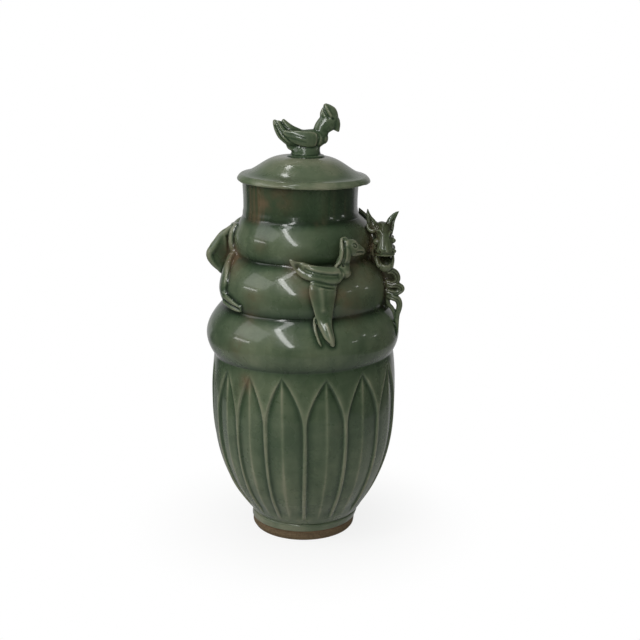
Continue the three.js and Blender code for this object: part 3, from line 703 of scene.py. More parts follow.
def relaxed(points, edges, rounds, share=0.6, amount=None):
    for _ in range(rounds):
        step = (neighbour_mean(points, edges) - points) * share
        points = points + (step if amount is None else step * amount[:, None])
    return points


def normals_of(points, quads):
    a, b, c, d = (points[quads[:, i]] for i in range(4))
    face = np.cross(c - a, d - b)
    normals = np.stack([sum(np.bincount(quads[:, i], face[:, axis], len(points)) for i in range(4))
                        for axis in range(3)], axis=1)
    return normals / np.maximum(np.linalg.norm(normals, axis=1, keepdims=True), 1e-9)


def groove(points, normals, rows, width, depth, steps=8):
    """Draws a tool along a line and presses it in. A negative depth raises a ridge."""
    line = spline(rows, steps)
    near = np.all((points > line.min(0) - 3 * width) & (points < line.max(0) + 3 * width), axis=1)
    chosen = np.flatnonzero(near)
    if len(chosen):
        gap = np.min(np.linalg.norm(points[chosen][:, None] - line[None], axis=2), axis=1)
        points[chosen] -= normals[chosen] * (depth * np.exp(-(gap / width) ** 2))[:, None]
    return points


def above_jar(points):
    radius = np.hypot(points[:, 0], points[:, 1])
    return radius - surface(bearing_of(points), points[:, 2])


def above_lid(points):
    return points[:, 2] + lid_tilt * points[:, 0] - lid_height(np.hypot(points[:, 0], points[:, 1]))


def jar_core(low_z, high_z, start, end):
    """A block of the jar just under its skin, between two levels and two bearings."""
    columns = max(int((end - start) / 2), 8) + 1
    rows = int((high_z - low_z) / 0.8) + 1
    b, z = np.meshgrid(np.linspace(start, end, columns), np.linspace(low_z, high_z, rows))
    angle = np.radians(b - 90)
    outer = surface(b, z) - core_depth
    inner = np.full_like(outer, core_inside)
    layers = [np.stack([r * np.cos(angle), r * np.sin(angle), z], axis=2).reshape(-1, 3)
              for r in (outer, inner)]
    total = rows * columns
    skin = grid_faces(rows, columns, ring=False)
    bottom = np.arange(columns - 1)
    top = bottom + (rows - 1) * columns
    left = np.arange(rows - 1) * columns
    right = left + columns - 1
    edges = [(bottom + 1, bottom), (top, top + 1), (left, left + columns), (right + columns, right)]
    sides = [np.stack([here, after, after + total, here + total], axis=1) for here, after in edges]
    return np.vstack(layers), [skin, skin[:, ::-1] + total, *sides]


def lid_core():
    """The part of the lid just under its skin that carries the knob."""
    radii = np.linspace(lid_core_radius, 0.5, 26)
    skin = np.stack([radii, lid_height(radii) - core_depth], axis=1)
    points, faces = revolve(np.concatenate([[[lid_core_radius, lid_top_z - 8]], skin]), 64, False)
    return tilted(points), faces


# Painted shade: darker glaze painted in the hollows between a figure and the jar, and on the jar itself
# beside the figures
painted_shade_in_hollows = [
    [268, upper_crease_z + 2, 6, 6.5, 1.4], [270, upper_crease_z - 6, 4, 4, 0.8],
    [62, upper_crease_z + 5, 5, 4.5, 1.0], [66, upper_crease_z - 3, 4, 4, 0.8],
    [78, lower_crease_z + 14, 6, 6, 0.5],
]
painted_shade_on_jar = [
    [44, upper_crease_z + 12, 0, 11, 0.8], [22, upper_crease_z + 12, 0, 9, 0.3],
]

# The points of each figure that lie just off the jar, filled in as the figures are made
seats = []


def pool_and_shade_beside_figures(points):
    """The jar's glaze is darker along the line where a figure is seated on it: glaze pooling there, and
    painted shade.
    """
    line = np.vstack(seats)
    tree = KDTree(len(line))
    for i, spot in enumerate(line):
        tree.insert(spot, i)
    tree.balance()
    gap = np.array([tree.find(spot)[2] for spot in points])
    return beside_pool_and_shade * np.exp(-(gap / beside_pool_and_shade_reach) ** 2) + patches(points, painted_shade_on_jar)


def figure(name, modelled, core, body, material, nodes, size=voxel, rounds=3, thicker=0.0):
    """Fuses a figure's limbs with its seat, softens it as thick glaze does, and trims it at the seat."""
    solids, cutters, strokes = modelled
    above = above_jar if body == "jar" else above_lid
    whole = remeshed(solid_object(name, [*solids, core]), size)
    if cutters:
        tool = remeshed(solid_object(name + "_tool", cutters), size)
        whole = reshaped(whole, "BOOLEAN", operation="DIFFERENCE", solver="EXACT", object=tool)
        whole = remeshed(whole, size)
        bpy.data.objects.remove(tool)
    points, edges, quads = arrays(whole.data)
    bpy.data.objects.remove(whole)
    points = relaxed(points, edges, rounds)
    contact = smoothstep(fillet_reach, fillet_core, above(points))
    points = relaxed(points, edges, fillet_rounds, amount=contact)
    normals = normals_of(points, quads)
    for line, width, depth in strokes:
        points = groove(points, normals, line, width, depth)
    points = relaxed(points, edges, 1)
    normals = normals_of(points, quads)
    wide = relaxed(points, edges, hollow_rounds, 0.8)
    pool_and_shade = np.einsum("ij,ij->i", wide - points, normals) / hollow_depth
    height = above(points)
    # Darker along the seat: glaze pooling there, and painted shade
    pool_and_shade = np.clip(pool_and_shade, -1.1, 1.2) + seat_pool_and_shade * np.exp(-(height / seat_pool_and_shade_reach) ** 2) + thicker
    # Painted shade in the hollows listed above
    pool_and_shade += patches(points, painted_shade_in_hollows)
    seats.append(points[(height > 0.15) & (height < 0.7)])
    lower = sink * np.exp(-np.maximum(height, 0) / sink_reach)
    inward = radially(points) if body == "jar" else np.array([0.0, 0.0, 1.0])
    points = points - inward * lower[:, None]
    quads = quads[np.any(above(points)[quads] > trim_height, axis=1)]
    used, quads = np.unique(quads, return_inverse=True)
    add_glazed(name, points[used], [quads.reshape(-1, 4)], pool_and_shade[used], material, body, "figure_glaze", nodes)


def named(start, endings):
    return [start + ending for ending in endings.split()]


# The dragon

trunk_radius = 5.8
claw = 1.5
claw_run = -10
claw_drop = 4
head_at = np.array(beside(73.5, upper_crease_z + 12.5, 8.7))
front = facing(0, -1, 0)
upward = facing(0, 0, 1)


def fin(bearing, z):
    return on_jar([[bearing + 2, z + 3.4, 1.2, 4, 1.6], [bearing, z + 7.9, 0.6, 2.4, 1.2],
                   [bearing - 2, z + 11, 0.2, 0.4, 0.4]])


def claws(bearing, z):
    """Three claws spread over the run and the drop of a paw."""
    return [on_jar([
        [bearing, z, 1.5, claw + 1, claw + 0.7],
        [bearing + claw_run * 0.5, z - claw_drop * 0.5 + side * 1.6, 1.3, claw - 0.1, claw - 0.1],
        [bearing + claw_run * (0.9 + 0.12 * side), z - claw_drop + side * 2.2, 0.6, 0.7, 0.7]])
        for side in (-1, 0, 1)]


def dragon_body():
    """The solids of the trunk, tail, legs and fins, no cutters, and the strokes of the tool."""
    up_z, low_z = upper_crease_z, lower_crease_z
    trunk = on_jar([
        [88, neck_base_z - 12.5, 2, trunk_radius - 1, trunk_radius - 1.2],
        [104, neck_base_z - 13.5, 1.8, trunk_radius - 0.4, trunk_radius - 0.6],
        [126, neck_base_z - 13, 2.2, trunk_radius, trunk_radius - 0.3],
        [148, up_z + 8.5, 2, trunk_radius, trunk_radius],
        [170, up_z + 5.5, 3, trunk_radius + 0.4, trunk_radius],
        [192, up_z + 6.5, 3, trunk_radius + 0.4, trunk_radius],
        [214, up_z + 11, 2, trunk_radius, trunk_radius],
        [236, neck_base_z - 11, 2.5, trunk_radius, trunk_radius - 0.5],
        [254, neck_base_z - 13, 2.2, trunk_radius - 1.6, trunk_radius - 1.6]], sides=28)
    tail = on_jar([
        [248, neck_base_z - 12, 2.2, 4, 4], [258, neck_base_z - 9.5, 2, 3, 3],
        [266, neck_base_z - 7.5, 1.4, 2.2, 2.2], [272, neck_base_z - 6.5, 0.8, 1.4, 1.4]])
    thigh = on_jar([
        [267.5, neck_base_z - 7.4, 1.2, 1.8, 1.7], [266.5, neck_base_z - 10.2, 4.1, 2.3, 2],
        [265.5, up_z + 8.8, 8.2, 3, 2.6], [265, up_z + 3.6, 12.3, 3.8, 3.2],
        [264.5, up_z - 1, 15.9, 4.2, 3.3], [264.5, up_z - 4.4, 12.2, 4, 3.4],
        [265, up_z - 8, 7, 3.6, 3], [265.5, up_z - 11, 2.4, 3, 2.4], [266, up_z - 13, 0.2, 2.2, 2]], sides=26)
    web = on_jar([
        [265.6, neck_base_z - 10, 1.6, 2.6, 3.2], [265.6, up_z + 9, 4.2, 3.2, 6.6],
        [265.4, up_z + 3, 7, 3.5, 9], [265.2, up_z - 2, 7.8, 3.5, 9.4],
        [265.4, up_z - 6.4, 4.8, 3.4, 7], [265.8, up_z - 10.5, 1.4, 2.8, 3.4]], sides=26)
    hind_leg = on_jar([
        [273, neck_base_z - 7, 0.4, 2.2, 1.9], [273, neck_base_z - 10.5, 0.9, 2.9, 2.4],
        [273.5, up_z + 7, 1.2, 3.2, 2.5], [275.5, up_z + 0.5, 1.4, 3.6, 2.6], [280.5, up_z - 6, -0.5, 6, 3],
        [285.5, up_z - 11.4, -1.2, 8, 3], [289, up_z - 17, -1.1, 8.2, 3], [292, low_z + 10.4, -0.7, 6.4, 2.8],
        [295, low_z + 8, 0.2, 4.4, 2.1]])
    toes = [on_jar([[294, start, 0.6, 2.3, 1.8], [304, middle, 0.7, 1.8, 1.5],
                    [313, end, 0.4, 1.1, 0.9]], low_z)
            for start, middle, end in ((8.8, 6.6, 4), (4.6, 3, 2))]
    solids = [trunk, tail, thigh, web, hind_leg, *toes]
    for bearing, turn in ((118, 10), (222, 8)):
        solids.append(on_jar([
            [bearing, up_z + 10.5, 3.4, 4.2, 3.6], [bearing + turn * 0.6, up_z - 1.5, 4.2, 3.9, 3.8],
            [bearing + turn, low_z + 20, 1.8, 3.3, 3.3], [bearing + turn * 0.6, low_z + 12, 1.4, 2.9, 2.9]]))
    solids += claws(124, low_z + 10.5) + claws(227, low_z + 10.5)
    first_fin = limb([
        [42.4, 12.4, neck_base_z - 13, 4.8, 2], [39.8, 13, neck_base_z - 6, 4, 1.7],
        [37.4, 13.4, neck_base_z - 1.4, 2.2, 1.2], [35.7, 13.6, neck_base_z + 2, 0.5, 0.5]], front)
    solids += [first_fin] + [fin(bearing, z) for bearing, z in (
        (138, up_z + 10), (160, up_z + 7), (182, up_z + 6), (204, up_z + 9), (228, neck_base_z - 12))]
    toe_edge = [(295, low_z + 10.8), (302, low_z + 9), (309, low_z + 6.4), (314, low_z + 4.4)]
    between_toes = [(296, low_z + 6.4), (304, low_z + 4.7), (312, low_z + 3)]
    lower_toe_edge = [(298, low_z + 2.6), (306, low_z + 1.8), (313, low_z + 1.2)]
    knee_fold = [(276, up_z - 3.6), (280.5, up_z + 1.6), (284.5, up_z - 1.6)]
    behind_haunch = [(270, up_z + 10), (270.4, up_z + 4), (271, up_z - 2), (271.6, up_z - 7)]
    shin = [(279, up_z - 8), (280, up_z - 14), (282, low_z + 13)]
    marks = [(toe_edge, 1.6, 0.6, -0.5), (between_toes, 1.4, 0.7, 0.8), (lower_toe_edge, 1.2, 0.6, -0.5),
             (knee_fold, 3, 0.8, -0.6), (behind_haunch, 4, 1.3, 1.6), (shin, 2, 0.8, -0.45)]
    strokes = [([beside(b, z, lift) for b, z in rows], width, depth) for rows, lift, width, depth in marks]
    return solids, [], strokes


def dragon_head():
    """The solids of the head, the neck and the beard, the cutters of ears and mouth, and the strokes."""
    def part(rows, outward=upward, **options):
        return at(head_at, rows, outward, **options)

    def sphere(x, y, z, size):
        return ball(head_at, [x, y, z], [size, size * 1.1, size])

    skull = part([[-4.6, 15, 0.6, 4.8, 5], [-3, 7, 1.8, 5.4, 5.6], [-1.7, 0.5, 3.9, 5, 6.2],
                  [-0.7, -4.6, 0.4, 4.9, 5.2], [-0.5, -8.2, -3.6, 4.9, 4.2], [-0.5, -10, -6, 5.2, 3.5]])
    muzzle = part([[-4.6, -7.6, -6.8, 2, 2.6], [-2.6, -10, -6.6, 2.2, 2.6], [-0.1, -11, -6.2, 2.4, 2.8],
                   [2.4, -10, -6.6, 2.2, 2.6], [4.2, -7.6, -6.8, 1.9, 2.5]])
    nostrils = [sphere(-3.9, -9.8, -6.4, 1.9), sphere(4.8, -9, -7, 1.7)]
    lip = part([[-5.8, -5.6, -9.4, 1.1, 0.9], [-4.8, -9, -9.2, 1.2, 0.9], [-1.4, -11.6, -9, 1.2, 0.9],
                [1.8, -11.4, -9, 1.2, 0.9], [4.4, -8.8, -9.2, 1.2, 0.9], [5.2, -5.4, -9.4, 1.1, 0.9]])
    bridge = part([[-1.2, -2.6, 9, 1.4, 1], [-0.8, -6, 5, 1.3, 1], [-0.2, -9, 1, 1.3, 1],
                   [0.4, -11.6, -3.2, 1.4, 1], [0.6, -13, -6.4, 1.2, 0.9]])
    brows = [
        part([[-4.9, -4.4, 3, 0.7, 0.8], [-4.7, -5, 5, 0.8, 0.9], [-3.2, -6.2, 5.2, 0.8, 0.9],
              [-2.2, -7.6, 3.2, 0.8, 0.8], [-2, -8.8, 0.4, 0.7, 0.7]]),
        part([[4.2, -4.4, 3.6, 0.7, 0.8], [3, -6, 4.4, 0.8, 0.9], [1.9, -7.6, 3, 0.8, 0.8],
              [1.7, -8.8, 0.2, 0.7, 0.7]]),
    ]
    eyes = [sphere(-5.2, -6.8, -1.5, 2.2), sphere(4.4, -6.2, -0.8, 1.9)]
    cheeks = [ball(head_at, [-4.2, -3.2, -6], [2.6, 4.4, 3.6]), ball(head_at, [3.6, -3, -6], [2.2, 4.4, 3.6])]
    jaw = part([[-0.6, 3, -13.6, 5.4, 4.6], [-0.6, -2.4, -15, 5.6, 4.4], [-0.2, -6, -16, 5.2, 4],
                [0.2, -8.6, -17, 4.2, 3.3]])
    mouth_corners = [
        part([[-5.4, -3, -10, 1.3, 1.8], [-5.2, -6, -13, 1.5, 1.8], [-3.8, -8.6, -16.4, 1.6, 1.8]], front),
        part([[4.9, -3, -10.4, 1, 1.4], [5, -6, -13.4, 1, 1.3], [4, -8.4, -16.6, 1.3, 1.4]], front)]
    tongue = part([[0.2, -2, -14.6, 2.2, 1], [0.2, -6.4, -15.9, 2, 1], [0.3, -9, -16.9, 1.3, 0.9]])
    left_ear = part([[-7.4, 0.2, 5.6, 3.4, 1.8], [-8.4, 0.6, 9, 3.1, 1.7], [-9.8, 0.9, 12, 2.1, 1.4],
                     [-10.6, 1.2, 15, 1.2, 1], [-10.9, 1.4, 17.8, 0.4, 0.4]], front)
    ear_lobe = part([[-11, -1, 8.4, 0.9, 1], [-10.4, -1.8, 6, 1.2, 1.2], [-8.4, -2.6, 4.6, 1.5, 1.4],
                     [-6.2, -2.8, 5.2, 1.4, 1.3], [-5.2, -2.6, 7.4, 0.9, 1]], front)
    right_ear = part([[3, -0.6, 2.4, 1.8, 1.5], [3.1, 0, 6, 2.6, 1.7], [3.4, 0.5, 9.4, 2.7, 1.6],
                      [4.9, 0.9, 12.4, 2.1, 1.3], [6.9, 1.2, 14.8, 1.3, 0.9],
                      [8.5, 1.4, 16.2, 0.4, 0.4]], front)
    neck = part([[-6.5, 8, 5, 4.5, 5], [-7.2, 6, -1, 4.4, 4.6], [-7.6, 5, -7, 3.5, 4.4],
                 [-7.2, 5, -12.5, 3, 4],
                 [-5.4, 5, -17.5, 2.6, 3.4], [-2.6, 5.4, -22.5, 2.4, 3]], front)
    mane = [part([[x, 2, z, 1.6, 1.8], [x * 1.35, 6, z + lift, 1.5, 1.6],
                  [x * 1.5, 11, z + lift * 0.6, 0.6, 0.7]])
            for x, z, lift in ((-4.8, 0, 1), (3.6, -1, 0), (3.4, -6, -1))]
    wisps = [part([[x, y, z, 0.9, 1], [x - 0.8, y - 0.6, z - 4, 1.1, 1.1],
                   [x + 0.4, y, z - 8, 0.7, 0.8]], front)
             for x, y, z in ((-8.8, 0.6, -2), (-6.8, -0.2, -5), (-8.6, 0.8, -8))]
    backing = part([[1, 3.6, -20, 4.8, 2.8], [3.2, 2.6, -26, 4.8, 2.6], [4.2, 2, -31, 5, 2.5],
                    [3.2, 1.8, -36, 4.4, 2.4], [1.5, 1.4, -40.6, 2.6, 2.1], [1.8, 1, -45, 2, 1.7]], front)
    strands = [
        [[2, -6.6, -19.6], [5.2, -3.8, -20.9], [7.2, -3, -22.7], [8.1, -3, -25.4], [7.2, -2.8, -27.8],
         [4.8, -2.4, -28.8], [2, -1.4, -28.4]],
        [[1, -0.4, -29.6], [4, -2.4, -30], [8.2, -2.9, -30], [11, -2.6, -32.3], [8.3, -2.5, -34.7],
         [4.6, -2.2, -34.8], [1.4, -1, -34]],
        [[3.2, -1, -37], [6, -2.8, -37.9], [8.7, -2.9, -39.4], [9.8, -2.8, -42.6], [9.4, -2.5, -46],
         [8.6, -2.2, -49.4], [8.4, -2.2, -53.6], [8.3, -2.6, -58.6], [7.3, -3.4, -64], [5.8, -4.6, -68]],
        [[2, -0.2, -36], [2.4, -1, -39.4], [3, -1.2, -42.6], [5.4, -1.4, -45.4], [7, -1.8, -49],
         [7.6, -2, -53]],
    ]
    start_thickness = [2.2, 2.1, 2.5, 1.6]
    end_thickness = [2, 2, 1, 1.2]
    beard = []
    for strand, start, end in zip(strands, start_thickness, end_thickness):
        sizes = np.linspace(start, end, len(strand))
        beard.append(part([[*spot, size, size] for spot, size in zip(strand, sizes)], front))
    hollows = [
        part([[-7.4, -2.6, 6.8, 1.9, 1.1], [-8.4, -1.4, 9.8, 1.4, 1], [-9.8, -0.6, 13, 0.6, 0.7]], front),
        part([[3.9, -2.2, 3.4, 0.6, 1.1], [4, -1.8, 6.4, 1.1, 1.2], [4.4, -1.2, 9.4, 1.1, 1],
              [5.6, -0.6, 12, 0.6, 0.8]], front),
        part([[0.7, -14, -13.4, 3.7, 2.5], [0.6, -8, -12.9, 3.7, 2.2], [0.4, -3, -12, 3.4, 1.5],
              [0.2, 0, -11.6, 3, 0.9]]),
    ]
    strokes = []
    for strand, r in zip(strands[:3], start_thickness):
        strokes.append((np.array([[x, y - r, z] for x, y, z in strand]) + head_at, 0.5, 0.45))
    folds = [
        [(-2.7, -6.4, 4.4), (-2.5, -8.6, 1), (-2.7, -9.6, -2.4), (-3.4, -9.6, -4)],
        [(2.4, -6.4, 4), (2.3, -8.6, 0.6), (2.5, -9.4, -2.6), (3.2, -9.2, -4.4)],
        [(-5.8, -4.8, -3.8), (-5.6, -6.4, -6.4), (-5.6, -5.6, -8.4)],
        [(-3.9, -11.9, -6.6), (-3.4, -12.1, -6.9)],
        [(4.2, -11, -7.1), (4.7, -10.8, -7.3)]]
    strokes += [(np.array(fold) + head_at, 0.6, 0.7) for fold in folds]
    solids = [skull, muzzle, *nostrils, lip, bridge, *brows, *eyes, *cheeks, jaw, *mouth_corners, tongue,
              left_ear, ear_lobe, right_ear, neck, *mane, *wisps, backing, *beard]
    return solids, hollows, strokes


# The bird on the shoulder


def shoulder_bird():
    """The solids of the bird and its perch, no cutters, and the strokes of the tool."""
    up_z, low_z = upper_crease_z, lower_crease_z
    leg = on_jar([
        [14, up_z - 5, 2, 7.4, 2.2], [13.3, up_z - 10, 1, 8.7, 2.2], [12.3, up_z - 15, 0.5, 8.6, 2.2],
        [12.5, low_z + 9, 0.5, 6.8, 2.2], [13, low_z + 1, 2.4, 5.1, 2.4], [13.7, low_z - 4.5, 1.4, 3.8, 2.3],
        [15.1, low_z - 10, 0.8, 3, 1.9], [16.6, low_z - 13.6, 0.4, 1.3, 1.2]], sides=30)
    spur = on_jar([[7.2, 2, 1.8, 1, 1.2], [6.9, -2, 1.2, 1, 1.2], [7.2, -6, 0.6, 0.9, 1.1],
                   [8.6, -11, 0.4, 0.8, 1], [9.8, -13.6, 0.2, 0.5, 0.7]], low_z)
    body = on_jar([
        [-9.2, 5.2, 6, 0.8, 0.9], [-7, 3, 5.8, 2, 1.5], [-3.6, 0.8, 5.4, 3.6, 2.4],
        [0.8, -1.3, 5.2, 4.6, 3], [6, -2.9, 5, 4.9, 3.4], [12, -3.9, 4.8, 5, 3.7],
        [18, -4.7, 4.7, 5.3, 3.9], [22.4, -4.7, 4.5, 5.1, 3.8], [24.8, -4.5, 4.2, 3.8, 3]],
        up_z, sides=34)
    neck = on_jar([
        [28.4, -4, 4.4, 4.6, 3.2], [29.6, 1, 4.8, 4.8, 3], [30.6, 6, 5, 4.1, 2.9],
        [30.9, 10.5, 4.8, 4.1, 2.9], [31.2, 14.6, 4.4, 3.7, 2.4], [31.2, 16.4, 4.2, 2.2, 1.6]], up_z)
    mane = on_jar([
        [23.2, 0.4, 6.2, 0.9, 1.4], [25.4, 4, 6.6, 1, 1.8], [26.4, 9, 6.6, 1, 1.9],
        [27, 13.6, 6, 0.9, 1.6], [28.4, 16.8, 5.2, 0.8, 1.2]], up_z)
    head = on_jar([
        [31, 12.8, 4.8, 4, 2.9], [35, 11.2, 5, 5.2, 2.9], [39, 9.6, 5, 4.6, 2.6],
        [43, 8.5, 4.9, 3.4, 2.1], [46, 7.8, 4.8, 2.4, 1.6], [47.6, 6.8, 4.7, 1.6, 1.1],
        [48, 5.6, 4.6, 0.8, 0.7]], up_z)
    eye = on_jar([[36.2, 12.8, 7.2, 0.6, 0.5], [37.4, 12.4, 7.2, 0.6, 0.5]], up_z)
    dish = [(-3.6, 0.8, 7.8), (1, -1.6, 8.2), (7, -3.3, 8.6), (13, -4.4, 8.7), (19, -5, 8.7), (22, -5.1, 8.4)]
    rim = [(-7.8, 4.6, 7), (-4, 3.6, 7.4), (2, 2.4, 7.8), (9, 0.8, 8), (17, 0, 8), (23, -0.6, 7.6),
           (26, -4, 7.2), (25, -7.6, 7.4), (20, -9.4, 7.6), (12, -8.2, 7.8), (4, -6.6, 7.6), (-2, -4.4, 7.2)]
    mouth = [(38.8, 8.2, 7.4), (42.6, 7.9, 7), (46.4, 7, 6)]
    crease = [(27.8, 0.6, 8), (28.8, 6, 8.2), (29, 12, 8), (29, 15.6, 7)]
    under_wing = [(27.6, 1, 5), (28.4, -4, 5), (26.4, -9, 4), (20, -11.6, 3), (12, -10.6, 3), (4, -8.6, 3)]
    eye_rim = [(36.8 + 1.7 * math.cos(t), 12.6 + 1 * math.sin(t) - 0.4 * math.cos(t), 7.6)
               for t in np.linspace(0, 6.28, 9)]
    leg_edge = [(3.6, -10.6, 1.4), (2.6, -14, 1.2), (4.6, -22, 1.2), (6.6, -28.6, 1.8), (8.8, -35, 2.6),
                (11, -41, 1.2), (14.2, -44.4, 0.8)]
    leg_side = [(21.6, -12, 1.4), (20.4, -22, 1.4), (18.6, -31, 1.6), (18.4, -38, 1.2), (18.6, -43, 0.8)]
    shin = [(10.8, -12, 3), (11.4, -18, 3), (12, -24, 3)]
    toe = [(13.6, -33, 4.4), (14.8, -38, 3.6), (16, -43, 2.6)]
    marks = [
        (dish, 0, 2.8, 1.6), (dish[1:], -1.6, 1, 0.6), (dish[1:], 1.7, 0.8, 0.6), (dish[1:], 0.2, 0.5, -0.5),
        (rim, 0, 0.8, -0.7), (mouth, 0, 0.5, 0.8), (crease, 0, 0.7, 0.9), (under_wing, 0, 0.6, 0.6),
        (eye_rim, 0, 0.45, 0.6), (leg_edge, 0, 0.6, 1.1), (leg_side, 0, 0.6, 0.6), (shin, 0, 2, -0.6),
        (toe, 0, 1.1, -0.6)]
    strokes = [([beside(b, up_z + z + lift, off) for b, z, off in rows], width, depth)
               for rows, lift, width, depth in marks]
    return [leg, spur, body, neck, mane, head, eye], [], strokes


# The bird on the lid

knob_at = np.array([0, 0, lid_top_z])


def knob_bird():
    """The solids of the knob, no cutters, and the strokes, which are the same on both sides."""
    east, side_on = facing(1, 0, 0), facing(0, 1, 0)

    def part(rows, outward=upward, **options):
        return at(knob_at, rows, outward, **options)

    def middle(rows, outward=upward, **options):
        return part([[x, 0, z, width, depth] for x, z, width, depth in rows], outward, **options)

    stem = middle([
        [stem_offset, -2, 10.6, 10.6], [stem_offset, 1, 9.6, 9.7], [stem_offset, 3.6, 7.6, 9],
        [1, 6, 5.8, 10.2], [0.4, 8.6, 4.2, 11.6], [0.2, 11, 3.4, 12]], east, sides=40)
    foot_ring = middle([[stem_offset, -1.4, 13.4, 13.4], [stem_offset, 0.9, 11.4, 11.4]], east,
                       sides=40, end=0.05)
    body = middle([
        [-16.2, 20.4, 2, 2.4], [-15, 18, 2.6, 3.2], [-12.4, 14.6, 3.6, 4.4], [-9, 12.3, 4.9, 5.4],
        [-4.6, 11.2, 5.8, 5.6], [0, 10.9, 6.3, 5.6], [5, 11.1, 6.2, 5.8], [9.6, 11.2, 5.4, 5.5],
        [12.4, 11.4, 3.4, 4]], sides=30)
    neck = middle([
        [9.4, 9.6, 4.2, 3.9], [10.4, 13.4, 3.9, 4.7], [11.3, 17, 3.4, 5.1], [13.4, 19.6, 3.3, 5.6],
        [15.4, 21.4, 3.3, 5.9], [16, 24, 3.1, 5.7], [15.4, 26.6, 2.8, 5.6], [14.7, 28.6, 2.3, 4.9],
        [14, 30.4, 1.7, 3.3], [13.3, 31.8, 0.9, 1.6]], east, sides=26)
    beak = middle([
        [16.4, 21.4, 3.1, 4.4], [18.4, 20.8, 2.5, 4.7], [19.8, 19.1, 1.9, 3.6], [20.8, 17.3, 1.2, 2.3],
        [21.7, 15.5, 0.6, 0.8]])
    plumes = [
        middle([[-9, 10.4, 3.4, 3.2], [-13.2, 12.8, 3, 2.8], [-15.9, 16.4, 2.4, 2.2], [-17.5, 20, 1.8, 1.7],
                [-18.1, 21.8, 1.3, 1.2]], side_on),
        middle([[-3, 13.8, 3.4, 3], [-7.4, 16.2, 3, 2.6], [-10.5, 19.2, 2.2, 2],
                [-12.6, 22, 1.3, 1.3]], side_on)]
    wings = [part([[-12, s * 3, 15, 1.6, 1.1], [-6, s * 4.9, 12.8, 3.8, 1.6], [0, s * 5.8, 11.4, 4.7, 1.8],
                   [4.4, s * 5.9, 11.1, 4.8, 1.7], [7.4, s * 5.4, 11, 4.3, 1.3]], facing(0, s, 0), sides=28)
             for s in (1, -1)]
    feathers = [[[-12.5, 4.2, 15.2 - drop], [-5, 7.2, 13.4 - drop], [1, 8, 11.8 - drop]]
                for drop in (0, 2.4, 4.8)]
    tail_lines = [
        [[-7, 4, 15.6], [-11, 2.8, 17.6], [-14.6, 1.6, 22]],
        [[-9, 4.4, 10.4], [-13.6, 3, 14.6], [-16.6, 1.8, 20.6]],
        [[-10, 3.4, 8.4], [-14.6, 2.6, 12.6], [-17.8, 1.6, 19]]]
    marks = [
        ([[13.6, 0.9, 31.8], [14.6, 1.9, 29.6], [15.8, 2.6, 27.4], [16.8, 3, 25.6]], 0.6, -0.4),
        ([[12, 1, 31], [12.8, 2, 28.6], [14, 2.8, 26.4], [15.4, 3.2, 24.4]], 0.9, 0.55),
        ([[18.1, 3.2, 23.7], [18.6, 3.2, 23.5]], 0.7, 0.6),
        ([[9.4, 5, 16.2], [9.9, 5.4, 12], [8.8, 5.2, 7]], 0.8, 0.5),
        *[(line, 0.6, 0.2) for line in feathers],
        *[(line, 0.6, 0.45) for line in tail_lines]]
    strokes = [(np.array(rows) * [1, s, 1] + knob_at, width, depth)
               for s in (1, -1) for rows, width, depth in marks]
    return [stem, foot_ring, body, neck, beak, *plumes, *wings], [], strokes


# Materials


